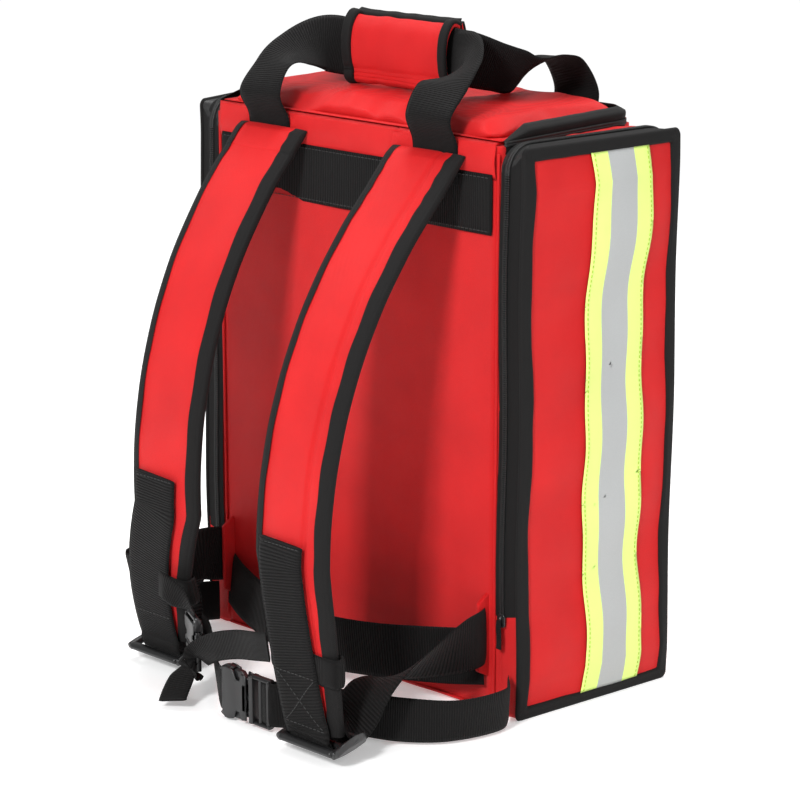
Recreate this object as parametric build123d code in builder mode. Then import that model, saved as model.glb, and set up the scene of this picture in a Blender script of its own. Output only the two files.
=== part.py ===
"""Trauma backpack: padded rucksack body with a zipped lid, two fold-out side pockets,
joined carry handles, curved shoulder harness, sternum strap and waist belt.

Millimetres. -Y is the wearer's side, +Z is up, and +X is the right-hand side as seen facing
the harness. The origin is on the ground, in the middle of the body's base.
"""
import os
from math import asin, degrees
from build123d import *

os.makedirs("parts", exist_ok=True)

# ---- Driving dimensions -------------------------------------------------------------------
bag_width = 330
bag_depth = 170
bag_height = 500
wall = 8                      # padded fabric wall
corner_radius = 7             # vertical edges of the body
lid_thickness = 11.5
zip_thickness = 2.2           # zip between the rim of the walls and the lid
lid_gap = 0.4

pocket_rear_depth = 24        # how far the side pocket stands out at the wearer's edge
pocket_front_depth = 50       # and at the outer edge
pocket_drop = 13              # pocket top, below the top of the lid
pocket_fold_height = 75       # below this line the outer panel is sewn shut
panel_thickness = 4
rim_depth = 10                # side of the fold-out panel, up to the zip
rim_wall = 3
pocket_zip_width = 4
binding_width = 11
binding_thickness = 2.5
tape_width = 64               # fluorescent tape with a silver stripe down its middle
tape_thickness = 0.8
tape_offset = 14              # tape centre, towards the front of the pocket

frame_sheet_thickness = 2.5
base_board_thickness = 3
divider_thickness = 6
divider_height = 320

webbing = 50                  # harness and handle webbing
webbing_thickness = 1.8
belt_webbing = 40
sternum_webbing = 25

strap_width = 80
strap_thickness = 13
strap_spacing = 90            # centre of each strap from the middle
strap_drop = 32               # top of the straps, below the top of the lid
strap_gap = 9                 # between the back panel and the strap's cut top
strap_tip_width = 44

handle_spacing = 97
handle_drop = 18              # where a handle's legs bend away, below the top of the lid
grip_length = 120
grip_wall = 3
grip_rise = 12                # underside of the grip, above the top of the lid
grip_bottom_clear = 1.2
handle_pair_gap = 4           # between the two webbings inside the grip
handle_middle = -22           # Y of the grip's middle

lock_width = 66
lock_length = 38
lock_thickness = 6
lock_reach = 16               # how far the lock stands out in front of its hinge
lock_slope = 8

waist_buckle_width = 46
waist_buckle_thickness = 12
sternum_buckle_width = 31
sternum_buckle_thickness = 9

slider_width = 9
slider_height = 12
slider_thickness = 4
puller_length = 26

clear = 0.4                   # running clearance between moving pieces

# ---- Values that follow --------------------------------------------------------------------
half_width = bag_width / 2
half_depth = bag_depth / 2
rim_height = bag_height - lid_thickness - lid_gap - zip_thickness
lid_underside = bag_height - lid_thickness
rear = -half_depth
pocket_height = bag_height - pocket_drop
strap_top = bag_height - strap_drop
handle_pivot = bag_height - handle_drop
grip_low = bag_height + grip_rise
sides = {"right": 1, "left": -1}


def save(part, name):
    """Label a finished piece and write it as its own file."""
    part.label = name
    export_step(part, f"parts/{name}.step")


def slab(low, high, rounded=0):
    """A block between two corners, with its upright edges rounded on request."""
    size = [b - a for a, b in zip(low, high)]
    middle = [(a + b) / 2 for a, b in zip(low, high)]
    with BuildPart() as block:
        with Locations(tuple(middle)):
            Box(*size)
        if rounded:
            fillet(block.edges().filter_by(Axis.Z), rounded)
    return block.part


def ribbon(stations, width, thickness):
    """Limp webbing through (point, across) stations, where across points along its width."""
    points = [Vector(*point) for point, _ in stations]
    with BuildPart() as strip:
        for i, (_, across) in enumerate(stations):
            before = points[max(i - 1, 0)]
            after = points[min(i + 1, len(points) - 1)]
            run = (after - before).normalized()
            side = Vector(*across)
            side = (side - run * side.dot(run)).normalized()
            with BuildSketch(Plane(points[i], x_dir=side, z_dir=run)):
                Rectangle(width, thickness)
        loft(ruled=True)
    return strip.part


# ---- Body: five padded panels ----------------------------------------------------------------
with BuildPart() as base_panel:
    with BuildSketch():
        RectangleRounded(bag_width, bag_depth, corner_radius)
    extrude(amount=wall)
save(base_panel.part, "base_panel")

for name, face in {"back_panel": -1, "front_panel": 1}.items():
    with BuildPart() as panel:
        with BuildSketch(Plane.XY.offset(wall)):
            with Locations((0, face * (half_depth - wall / 2))):
                Rectangle(bag_width, wall)
        extrude(amount=rim_height - wall)
        outer_corners = panel.edges().filter_by(Axis.Z).group_by(Axis.Y)[0 if face < 0 else -1]
        fillet(outer_corners, corner_radius)
    save(panel.part, name)

for name, side in sides.items():
    with BuildPart() as side_wall:
        with BuildSketch(Plane.XY.offset(wall)):
            with Locations((side * (half_width - wall / 2), 0)):
                Rectangle(wall, bag_depth - 2 * wall)
        extrude(amount=rim_height - wall)
    save(side_wall.part, f"{name}_side_wall")

# Stiffeners: a plastic sheet behind the wearer's back, a board in the base, a loose divider
sheet_width = bag_width - 2 * wall - 10
with BuildPart() as frame_sheet:
    with BuildSketch(Plane.XZ.offset(-(rear + wall))):
        with Locations((0, (wall + rim_height) / 2)):
            RectangleRounded(sheet_width, rim_height - wall - 20, 20)
    extrude(amount=-frame_sheet_thickness)
save(frame_sheet.part, "frame_sheet")

board_rear = rear + wall + frame_sheet_thickness + clear
board_front = half_depth - wall - clear
with BuildPart() as base_board:
    with BuildSketch(Plane.XY.offset(wall)):
        with Locations((0, (board_rear + board_front) / 2)):
            Rectangle(bag_width - 2 * wall - 2 * clear, board_front - board_rear)
    extrude(amount=base_board_thickness)
save(base_board.part, "base_board")

with BuildPart() as inner_divider:
    with BuildSketch(Plane.YZ.offset(-divider_thickness / 2)):
        with Locations(((board_rear + board_front) / 2, wall + base_board_thickness + divider_height / 2)):
            RectangleRounded(board_front - board_rear, divider_height, 12)
    extrude(amount=divider_thickness)
save(inner_divider.part, "inner_divider")

# ---- Lid and its zip ---------------------------------------------------------------------------
with BuildPart() as lid_zip:
    with BuildSketch(Plane.XY.offset(rim_height)):
        RectangleRounded(bag_width, bag_depth, corner_radius)
        RectangleRounded(bag_width - 2 * wall, bag_depth - 2 * wall, 2, mode=Mode.SUBTRACT)
        with Locations((0, rear)):
            Rectangle(bag_width + 2, 4 * wall, mode=Mode.SUBTRACT)
    extrude(amount=zip_thickness)
save(lid_zip.part, "lid_zip")

with BuildPart() as lid_hinge:
    with BuildSketch(Plane.XY.offset(rim_height)):
        with Locations((0, rear + wall)):
            Rectangle(bag_width - 2 * corner_radius, wall)
    extrude(amount=zip_thickness)
save(lid_hinge.part, "lid_hinge_fabric")

with BuildPart() as top_lid:
    with BuildSketch(Plane.XY.offset(lid_underside)):
        RectangleRounded(bag_width - 1, bag_depth, corner_radius)
    extrude(amount=lid_thickness)
    fillet(top_lid.edges().group_by(Axis.Z)[-1], 4)
save(top_lid.part, "top_lid")


# ---- Side pockets ---------------------------------------------------------------------------------
def pocket_layer(side, depth_from, depth_to):
    """Everything between two depths under the slanting outer face of a side pocket."""
    reach = half_depth + 5
    slope = (pocket_front_depth - pocket_rear_depth) / bag_depth
    middle = half_width + (pocket_front_depth + pocket_rear_depth) / 2
    outline = []
    for depth, ends in ((depth_from, (-reach, reach)), (depth_to, (reach, -reach))):
        for y in ends:
            outline.append((side * (middle + slope * y - depth), y))
    with BuildSketch() as layer:
        with BuildLine():
            Polyline(outline, close=True)
        make_face()
    return layer.sketch


def pocket_piece(side, depths, outline, holes=()):
    """A piece of a side pocket: an upright outline cut to a layer under the outer face.

    outline and holes are (rear, low, front, high) boxes in the YZ plane.
    """
    inner = side * (half_width + clear)
    outer = side * (half_width + pocket_front_depth + 10)
    with BuildPart() as piece:
        add(pocket_layer(side, *depths))
        extrude(amount=pocket_height + 10)
        with BuildSketch(Plane.YZ.offset(min(inner, outer))):
            for box, mode in [(outline, Mode.ADD)] + [(hole, Mode.SUBTRACT) for hole in holes]:
                with Locations(((box[0] + box[2]) / 2, (box[1] + box[3]) / 2)):
                    Rectangle(box[2] - box[0], box[3] - box[1], mode=mode)
        extrude(amount=abs(outer - inner), mode=Mode.INTERSECT)
    return piece.part


def inset(box, amount):
    """The same (rear, low, front, high) box, made smaller on every side."""
    return (box[0] + amount, box[1] + amount, box[2] - amount, box[3] - amount)


tape_rear = tape_offset - tape_width / 2
tape_front = tape_offset + tape_width / 2
flap_low = pocket_fold_height
whole = (-half_depth, 0, half_depth, pocket_height)
flap = (-half_depth, flap_low, half_depth, pocket_height)
flap_open_side = inset(flap, rim_wall)
flap_cavity = (flap_open_side[0], flap_low - 1, flap_open_side[2], flap_open_side[3])
lower = (-half_depth, 0, half_depth, flap_low - clear)
lower_cavity = (lower[0] + rim_wall, rim_wall, lower[2] - rim_wall, flap_low + 1)
panel_area = (flap[0] + binding_width, flap_low, flap[2] - binding_width, flap[3] - binding_width)
zip_depth = panel_thickness + rim_depth

for name, side in sides.items():
    # fixed to the body: gusset, zip, and the part of the panel below the fold
    save(pocket_piece(side, (zip_depth + pocket_zip_width, 80), whole, [inset(whole, rim_wall)]),
         f"{name}_pocket_gusset")
    save(pocket_piece(side, (zip_depth, zip_depth + pocket_zip_width), flap, [flap_cavity]),
         f"{name}_pocket_zip")
    with BuildPart() as lower_panel:
        add(pocket_piece(side, (tape_thickness, panel_thickness), lower))
        add(pocket_piece(side, (panel_thickness, zip_depth + pocket_zip_width), lower, [lower_cavity]))
    save(lower_panel.part, f"{name}_lower_panel")
    lower_tape = (tape_rear, binding_width, tape_front, flap_low - clear)
    save(pocket_piece(side, (0, tape_thickness), lower_tape), f"{name}_lower_tape")
    # the flap: panel with its sides, the black binding round its edge, and the tape
    with BuildPart() as flap_panel:
        add(pocket_piece(side, (tape_thickness, binding_thickness), panel_area))
        add(pocket_piece(side, (binding_thickness, panel_thickness), flap))
        add(pocket_piece(side, (panel_thickness, zip_depth - clear), flap, [flap_cavity]))
    save(flap_panel.part, f"{name}_flap_panel")
    bound_edge = (panel_area[0], flap_low - 1, panel_area[2], panel_area[3])
    save(pocket_piece(side, (0, binding_thickness), flap, [bound_edge]), f"{name}_flap_binding")
    flap_tape = (tape_rear, flap_low, tape_front, panel_area[3])
    save(pocket_piece(side, (0, tape_thickness), flap_tape), f"{name}_reflective_tape")

# ---- Webbing sewn to the back ------------------------------------------------------------------------
band_top = strap_top - 5
save(slab((-half_width + corner_radius, rear - webbing_thickness, band_top - webbing),
          (half_width - corner_radius, rear, band_top)), "top_band")

wing_reach = 13
wing_low = 32
wing_high = 108
wing_thickness = 5
wing_middle = half_width - 10
for name, side in sides.items():
    with BuildPart() as wing:
        with BuildSketch(Plane.YZ.offset(side * wing_middle - wing_thickness / 2)):
            with BuildLine():
                Polyline((rear, wing_low), (rear - wing_reach, wing_low + 8),
                         (rear - wing_reach, wing_high - 8), (rear, wing_high), close=True)
            make_face()
        extrude(amount=wing_thickness)
    save(wing.part, f"{name}_wing")

# The loose strap that bows out between the wings
back_strap_low = 20
back_strap_bow = 42
half_span = wing_middle - wing_thickness / 2
with BuildPart() as back_strap:
    with BuildSketch(Plane.XY.offset(back_strap_low)):
        with BuildLine():
            ThreePointArc((-half_span - 8, rear - 3), (0, rear - 6 - back_strap_bow),
                          (half_span + 8, rear - 3))
        trace(line_width=webbing_thickness)
        with Locations((0, rear - back_strap_bow)):
            Rectangle(2 * half_span, 3 * back_strap_bow, mode=Mode.INTERSECT)
    extrude(amount=webbing)
save(back_strap.part, "lower_back_strap")

# ---- Carry handles and their grip ------------------------------------------------------------------
grip_high = grip_low + webbing + 2 * grip_wall + 2 * grip_bottom_clear
grip_middle_height = (grip_low + grip_high) / 2
rear_handle_y = handle_middle - handle_pair_gap / 2
front_handle_y = handle_middle + handle_pair_gap / 2
half_grip = grip_length / 2


def handle(face, leg_y, grip_y, bow, lean):
    """One carry handle: a leg each side, twisting into the upright webbing in the grip."""
    top = grip_middle_height
    half = [((half_grip + 2, grip_y, top), (0, 0, 1)),
            ((handle_spacing - 10, grip_y + face * lean * 0.35, top - 2), (0.7, 0, 0.7)),
            ((handle_spacing, grip_y + face * lean, top - 10), (1, 0, 0)),
            ((handle_spacing, leg_y + face * bow, handle_pivot + 24), (1, 0, 0)),
            ((handle_spacing, leg_y, handle_pivot), (1, 0, 0))]
    mirrored = [((-x, y, z), (-across[0], 0, across[2])) for (x, y, z), across in half]
    return ribbon(mirrored[::-1] + half, webbing, webbing_thickness)


rear_leg_y = rear - webbing_thickness * 1.5
front_leg_y = half_depth + webbing_thickness * 1.5
save(handle(-1, rear_leg_y, rear_handle_y, 12, 52), "rear_handle")
save(handle(1, front_leg_y, front_handle_y, 4, 78), "front_handle")

with BuildPart() as anchors:
    for y, low in ((rear_leg_y, band_top + 1), (front_leg_y, handle_pivot - 70)):
        with BuildSketch(Plane.XY.offset(low)):
            with Locations((-handle_spacing, y), (handle_spacing, y)):
                Rectangle(webbing, webbing_thickness)
        extrude(amount=handle_pivot - webbing_thickness - low)
save(anchors.part, "handle_anchors")

grip_thickness = handle_pair_gap + webbing_thickness + 2 * grip_wall + 10
with BuildPart() as grip:
    with BuildSketch(Plane.YZ.offset(-half_grip)):
        with Locations((handle_middle, grip_middle_height)):
            RectangleRounded(grip_thickness, grip_high - grip_low, grip_thickness / 2 - 1)
            RectangleRounded(grip_thickness - 2 * grip_wall, grip_high - grip_low - 2 * grip_wall,
                             grip_thickness / 2 - 1 - grip_wall, mode=Mode.SUBTRACT)
    extrude(amount=grip_length)
save(grip.part, "handle_grip")

# ---- Shoulder harness --------------------------------------------------------------------------------
strap_start = rear - strap_gap
strap_low = 26                # where a straight strap's padding ends, above its ladder lock
curved_tip = 30.6             # the same for a strap that is still curving at its tip
lock_hinge_drop = 11
keeper_height = 25
harness = {
    "right": {"side": 1, "fall": 41, "bend": 395, "curved": False, "drift": 28,
              "webbing_top": 178, "keeper": 80},
    "left": {"side": -1, "fall": 18, "bend": 382, "curved": True, "drift": 40,
             "webbing_top": 192, "keeper": 92},
}


def bend_centre(shape):
    """Middle of a strap's long bend, in the side view."""
    reach = shape["bend"] * 0.5 ** 0.5
    return Vector(strap_start - shape["fall"] + reach, strap_top - shape["fall"] - reach)


def end_angle(shape):
    """How far past the vertical a strap's bend goes on, in degrees."""
    if not shape["curved"]:
        return 0
    return degrees(asin((bend_centre(shape).Y - curved_tip) / shape["bend"]))


def strap_y(shape, height):
    """Y of the middle of a strap at a height in its bend or its straight tail."""
    centre = bend_centre(shape)
    drop = centre.Y - height
    if drop > 0 and not shape["curved"]:
        drop = 0
    return centre.X - (shape["bend"] ** 2 - drop ** 2) ** 0.5


def strap_layer(shape, width, thickness, proud):
    """A band that follows the strap's side view, its middle set proud of the strap's."""
    knee = (strap_start - shape["fall"], strap_top - shape["fall"])
    with BuildPart() as layer:
        with BuildLine(Plane.YZ) as path:
            Line((strap_start, strap_top), knee)
            bend = JernArc(knee, (-1, -1), shape["bend"], 45 + end_angle(shape))
            if not shape["curved"]:
                end = bend @ 1
                Line(end, (end.Y, strap_low))
        start = path.wires()[0]
        with BuildSketch(Plane(start @ 0, x_dir=(1, 0, 0), z_dir=start % 0)):
            with Locations((shape["side"] * strap_spacing, proud)):
                Rectangle(width, thickness)
        sweep()
    return layer.part


def strap_outline(shape, top, width, tip_width):
    """Front view of a strap: straight at the top, drifting outwards to its tip."""
    side = shape["side"]
    tip = strap_spacing + shape["drift"]
    low = strap_low - 20
    bend_height = 160
    hip_height = 75
    hip = strap_spacing + shape["drift"] * 0.65
    points = [(strap_spacing - width / 2, top), (strap_spacing - width / 2, bend_height),
              (hip - width * 0.42, hip_height), (tip - tip_width / 2, low),
              (tip + tip_width / 2, low), (hip + width * 0.42, hip_height),
              (strap_spacing + width / 2, bend_height), (strap_spacing + width / 2, top)]
    with BuildPart() as outline:
        with BuildSketch(Plane.XZ):
            with BuildLine():
                Polyline([(side * x, z) for x, z in points], close=True)
            make_face()
        extrude(amount=400)
    return outline.part


lock_hinge = {}
for name, shape in harness.items():
    side = shape["side"]
    with BuildPart() as strap:
        add(strap_layer(shape, 3 * strap_width, strap_thickness, 0))
        add(strap_outline(shape, strap_top + 20, strap_width, strap_tip_width), mode=Mode.INTERSECT)
    save(strap.part, f"{name}_shoulder_strap")

    proud = (strap_thickness + webbing_thickness) / 2
    with BuildPart() as front_webbing:
        add(strap_layer(shape, 3 * strap_width, webbing_thickness, proud))
        add(strap_outline(shape, shape["webbing_top"], webbing, webbing - 2), mode=Mode.INTERSECT)
    save(front_webbing.part, f"{name}_strap_webbing")

    keeper_y = strap_y(shape, shape["keeper"])
    keeper_x = side * (strap_spacing + shape["drift"] * 0.6)
    loop_depth = strap_thickness + 2 * webbing_thickness + 14
    with BuildPart() as keeper:
        with BuildSketch(Plane.XY.offset(shape["keeper"] - keeper_height / 2)):
            with Locations((keeper_x, keeper_y)):
                RectangleRounded(strap_width + 10, loop_depth, 6)
                RectangleRounded(strap_width + 6, loop_depth - 4, 4, mode=Mode.SUBTRACT)
            if name == "left":
                with Locations((keeper_x + strap_width / 2 + 12, keeper_y - loop_depth / 2 + 1)):
                    Rectangle(20, 2)
        extrude(amount=keeper_height)
    save(keeper.part, f"{name}_keeper_loop")

    # Ladder lock: slotted plate under the strap's tip, hung by its middle bar, sloping down and away
    lock_x = side * (strap_spacing + shape["drift"])
    lock_y = strap_y(shape, strap_low)
    lock_hinge[name] = (lock_x, lock_y, strap_low - lock_hinge_drop)
    lock_normal = Vector(0, 1, 0).rotate(Axis.X, lock_slope - 90)
    lock_plane = Plane(lock_hinge[name], x_dir=(1, 0, 0), z_dir=lock_normal)
    with BuildPart() as lock:
        with BuildSketch(lock_plane):
            with Locations((0, lock_reach - lock_length / 2)):
                RectangleRounded(lock_width, lock_length, 6)
            with Locations((0, -lock_length * 0.22), (0, lock_length * 0.16)):
                SlotOverall(webbing + 4, 6, mode=Mode.SUBTRACT)
        extrude(amount=lock_thickness / 2, both=True)
    save(lock.part, f"{name}_ladder_lock")

# Limp webbing from each wing to its ladder lock: first half set out from the wing's outer face,
# second half from the lock's hinge, each station with the direction of the webbing's width
wing_face = wing_middle + wing_thickness / 2 + webbing_thickness
wing_middle_height = (wing_low + wing_high) / 2
lower_routes = {
    "right": ([((0, -6, 0), (0, 0, 1)), ((-0.3, -30, -1), (0.1, 0, 1)), ((-4.3, -65, -4), (0.5, 0, 0.85))],
              [((30, 66, 45), (0.85, 0, 0.5)), ((20, 42, 33), (1, 0, 0.1)), ((8, 27, 5), (1, 0, 0))]),
    "left": ([((0, -6, 0), (0, 0, 1)), ((-3, -30, 3), (0, 0, 1)), ((-4, -48, -6), (-0.3, -0.3, 1))],
             [((-32, 41, 47), (-0.75, -0.6, 0.2)), ((-22, 37, 38), (-1, -0.25, -0.1)),
              ((-10, 32, 30), (-1, 0, 0))]),
}
for name, (from_wing, to_lock) in lower_routes.items():
    wing_edge = Vector(sides[name] * wing_face, rear, wing_middle_height)
    hinge = Vector(*lock_hinge[name])
    route = [(tuple(wing_edge + Vector(*step)), across) for step, across in from_wing]
    route += [(tuple(hinge + Vector(*step)), across) for step, across in to_lock]
    save(ribbon(route, webbing, webbing_thickness), f"{name}_lower_webbing")


# ---- Side-release buckles -----------------------------------------------------------------------------
def buckle_socket(plane, width, thickness, length):
    """Female half: two plates on an end bar, open at the sides; its mouth faces local +X."""
    with BuildPart() as socket:
        with BuildSketch(plane.offset(-thickness / 2)):
            with Locations((-length / 2 - 2, 0)):
                RectangleRounded(length, width, 3)
        extrude(amount=thickness)
        with BuildSketch(plane.offset(-thickness / 2 + 2)):
            with Locations((-(length - 8) / 2 - 1, 0)):
                Rectangle(length - 6, width + 2)
        extrude(amount=thickness - 4, mode=Mode.SUBTRACT)
    return socket.part


def buckle_plug(plane, width, thickness, length):
    """Male half: slotted bar for the webbing and a middle guide that enters the socket."""
    bar = length * 0.62
    with BuildPart() as plug:
        with BuildSketch(plane.offset(-(thickness - 3) / 2)):
            with Locations((2 + bar / 2, 0)):
                RectangleRounded(bar, width, 3)
            with Locations((2 + bar * 0.68, 0)):
                Rectangle(5, width - 8, mode=Mode.SUBTRACT)
        extrude(amount=thickness - 3)
        with BuildSketch(plane.offset(-(thickness - 5) / 2)):
            with Locations((-(length - 12) / 2 + 2, 0)):
                Rectangle(length - 12, width * 0.14)
        extrude(amount=thickness - 5)
    return plug.part


def buckle_prong(plane, width, thickness, length, edge):
    """One springy side arm with its finger pad, reaching from the plug into the socket."""
    with BuildPart() as prong:
        with BuildSketch(plane.offset(-(thickness - 5) / 2)):
            with BuildLine():
                Polyline((2 - clear, edge * width * 0.26), (2 - clear, edge * width * 0.38),
                         (-6, edge * width * 0.38), (-9, edge * width * 0.48),
                         (-length + 12, edge * width * 0.48), (-length + 10, edge * width * 0.26),
                         close=True)
            make_face()
        extrude(amount=thickness - 5)
    return prong.part


waist_middle = Vector(32, rear - 158, 25)
sternum_middle = Vector(-52, rear - 145, 47.5)
waist_plane = Plane(tuple(waist_middle), x_dir=(1, 0, 0), z_dir=(0, -1, 0))
sternum_plane = Plane(tuple(sternum_middle), x_dir=(0, 0, -1), z_dir=(-0.48, -0.877, 0))
buckles = {
    "waist": (waist_plane, waist_buckle_width, waist_buckle_thickness, 34),
    "sternum": (sternum_plane, sternum_buckle_width, sternum_buckle_thickness, 28),
}
for name, sizes in buckles.items():
    save(buckle_socket(*sizes), f"{name}_buckle_socket")
    save(buckle_plug(*sizes), f"{name}_buckle_plug")
    save(buckle_prong(*sizes, 1), f"{name}_prong_a")
    save(buckle_prong(*sizes, -1), f"{name}_prong_b")

upright = (0, 0, 1)
sternum_steps = [(110, -17, 32.5), (72, -18, 23.5), (42, -16, 14.5), (20, -13, 4.5)]
sternum_route = [(tuple(sternum_middle + Vector(*step)), upright) for step in sternum_steps]
save(ribbon(sternum_route, sternum_webbing, webbing_thickness), "sternum_strap")

# ---- Waist belt ---------------------------------------------------------------------------------------
# Plan view: each half set out from the body's rear corner, then from the waist buckle
belt_height = 1 + belt_webbing / 2
belt_routes = {
    "right": ([(16, -2), (33, -28), (19, -73)], [(120, 53), (80, 37), (52, 19), (24.5, 1)]),
    "left": ([(-8, -2), (-19, -27), (5, -55)], [(-132, 79), (-84, 37), (-38, 1)]),
}
for name, (from_corner, to_buckle) in belt_routes.items():
    corner_x = sides[name] * half_width
    route = [(corner_x + x, rear + y) for x, y in from_corner]
    route += [(waist_middle.X + x, waist_middle.Y + y) for x, y in to_buckle]
    with BuildPart() as belt:
        with BuildLine():
            trail = FilletPolyline(route, radius=12)
        with BuildSketch(Plane(trail @ 0, x_dir=(0, 0, 1), z_dir=trail % 0)):
            with Locations((belt_height, 0)):
                Rectangle(belt_webbing, webbing_thickness)
        sweep()
    save(belt.part, f"{name}_waist_belt")


# ---- Zip sliders, each with a hanging puller -------------------------------------------------------------
def slider(middle, size):
    """A zip slider's body, just off the face of the zip."""
    low = [m - s / 2 for m, s in zip(middle, size)]
    high = [m + s / 2 for m, s in zip(middle, size)]
    return slab(low, high)


puller_width = 6
puller_thickness = 1.6
zip_x = half_width + pocket_rear_depth - zip_depth - pocket_zip_width / 2
slider_off = clear + slider_thickness / 2
puller_off = clear * 3 + slider_thickness + puller_thickness / 2
sliders = {
    "right_pocket": (zip_x, -1, pocket_fold_height + 12, slider_width, slider_height),
    "left_pocket": (-zip_x, -1, pocket_fold_height + 12, slider_width, slider_height),
    "lid": (0, 1, rim_height + 1, slider_height, slider_width),
}
for name, (x, face, z, wide, tall) in sliders.items():
    save(slider((x, face * (half_depth + slider_off), z), (wide, slider_thickness, tall)),
         f"{name}_zip_slider")
    save(slider((x, face * (half_depth + puller_off), z - puller_length / 2 + 2),
                (puller_width, puller_thickness, puller_length)), f"{name}_zip_puller")
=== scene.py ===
from math import cos, hypot, pi, radians, sin, sqrt

import bmesh
import bpy
from mathutils import Matrix, Vector, noise


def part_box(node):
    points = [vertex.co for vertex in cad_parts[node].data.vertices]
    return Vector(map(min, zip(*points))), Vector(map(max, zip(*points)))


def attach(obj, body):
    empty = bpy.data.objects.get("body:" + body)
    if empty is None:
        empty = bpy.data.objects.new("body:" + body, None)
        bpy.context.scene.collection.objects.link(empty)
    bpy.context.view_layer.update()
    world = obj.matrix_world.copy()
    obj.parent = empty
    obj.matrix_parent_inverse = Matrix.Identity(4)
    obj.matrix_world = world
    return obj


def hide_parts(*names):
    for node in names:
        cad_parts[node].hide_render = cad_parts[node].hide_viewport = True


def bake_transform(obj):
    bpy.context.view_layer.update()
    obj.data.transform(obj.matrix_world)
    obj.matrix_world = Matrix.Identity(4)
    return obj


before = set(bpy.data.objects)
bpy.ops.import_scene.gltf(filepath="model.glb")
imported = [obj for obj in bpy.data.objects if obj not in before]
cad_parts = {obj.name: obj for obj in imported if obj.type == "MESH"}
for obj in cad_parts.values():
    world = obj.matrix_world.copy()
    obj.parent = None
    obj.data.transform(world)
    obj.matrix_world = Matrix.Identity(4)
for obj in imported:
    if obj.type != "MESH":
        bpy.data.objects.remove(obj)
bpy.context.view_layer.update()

# ---- Camera, floor and studio light --------------------------------------------------------
# A long lens from the harness side's right, a little above the pack. One firm key light over the
# camera's left shoulder, a broad fill from the right, a top light, a pale floor and a white backdrop.
lens = bpy.data.cameras.new("camera")
lens.lens = 120.4
lens.sensor_width = 36
camera = bpy.data.objects.new("camera", lens)
camera.location = (1.554, -1.6874, 0.8522)
aim = Vector((-0.0134, -0.0125, 0.229))
camera.rotation_euler = (aim - camera.location).to_track_quat("-Z", "Y").to_euler()
bpy.context.collection.objects.link(camera)
bpy.context.scene.camera = camera


def studio_light(name, azimuth, elevation, distance, size, power):
    """A square area light aimed at the pack; azimuth 0 shines along +Y."""
    lamp = bpy.data.lights.new(name, "AREA")
    lamp.size = size
    lamp.energy = power
    holder = bpy.data.objects.new(name, lamp)
    turn, lift = radians(azimuth), radians(elevation)
    away = Vector((sin(turn) * cos(lift), -cos(turn) * cos(lift), sin(lift)))
    holder.location = aim + away * distance
    holder.rotation_euler = away.to_track_quat("Z", "Y").to_euler()
    bpy.context.collection.objects.link(holder)


studio_light("key", 16, 33, 3.2, 0.5, 84)
studio_light("fill", 95, 25, 3.0, 2.2, 20)
studio_light("top", 200, 75, 2.6, 1.6, 62)

sky = bpy.data.worlds.new("studio")
sky.use_nodes = True
daylight = 0.42
backdrop = 1.02
sky_nodes = sky.node_tree.nodes
sky_nodes["Background"].inputs["Color"].default_value = (1, 1, 1, 1)
seen = sky_nodes.new("ShaderNodeLightPath")
level = sky_nodes.new("ShaderNodeMath")
level.operation = "MULTIPLY_ADD"
level.inputs[1].default_value = backdrop - daylight
level.inputs[2].default_value = daylight
sky.node_tree.links.new(seen.outputs["Is Camera Ray"], level.inputs[0])
sky.node_tree.links.new(level.outputs[0], sky_nodes["Background"].inputs["Strength"])
bpy.context.scene.world = sky
bpy.context.scene.view_settings.view_transform = "Standard"

floor_mesh = bmesh.new()
bmesh.ops.create_circle(floor_mesh, cap_ends=True, segments=96, radius=2.3)
floor_data = bpy.data.meshes.new("floor")
floor_mesh.to_mesh(floor_data)
floor_mesh.free()
floor = bpy.data.objects.new("floor", floor_data)
bpy.context.collection.objects.link(floor)
floor_paint = bpy.data.materials.new("pale_floor")
floor_paint.use_nodes = True
floor_shader = floor_paint.node_tree.nodes["Principled BSDF"]
floor_shader.inputs["Base Color"].default_value = (0.86, 0.86, 0.86, 1)
floor_shader.inputs["Roughness"].default_value = 0.7
floor_shader.inputs["Emission Color"].default_value = (1, 1, 1, 1)
floor_shader.inputs["Emission Strength"].default_value = 0.30
floor_data.materials.append(floor_paint)

# ---- Body ----------------------------------------------------------------------------------
# A tub of coated red oxford cloth over foam: back, two sides, front and base sewn together.
# Its mouth is open under the lid, and the cloth puckers a little where the rim is sewn.


def dye(name, color, roughness, sheen=0.0):
    """A cloth or plastic finish: the material, its node tree and its shader."""
    material = bpy.data.materials.new(name)
    material.use_nodes = True
    tree = material.node_tree
    shader = tree.nodes["Principled BSDF"]
    shader.inputs["Base Color"].default_value = (*color, 1)
    shader.inputs["Roughness"].default_value = roughness
    shader.inputs["Sheen Weight"].default_value = sheen
    shader.inputs["Sheen Roughness"].default_value = 0.4
    shader.inputs["Specular IOR Level"].default_value = 0.22
    return material, tree, shader


def sums(tree, operation, first, second=None, third=None):
    """One step of arithmetic between sockets and numbers."""
    step = tree.nodes.new("ShaderNodeMath")
    step.operation = operation
    for index, value in enumerate((first, second, third)):
        if value is None:
            continue
        if isinstance(value, (int, float)):
            step.inputs[index].default_value = value
        else:
            tree.links.new(value, step.inputs[index])
    return step.outputs[0]


def place_of(tree, output):
    """The X, Y and Z sockets of an object or UV coordinate, and the whole vector."""
    source = tree.nodes.new("ShaderNodeTexCoord").outputs[output]
    axes = tree.nodes.new("ShaderNodeSeparateXYZ")
    tree.links.new(source, axes.inputs[0])
    return axes.outputs["X"], axes.outputs["Y"], axes.outputs["Z"], source


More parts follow.
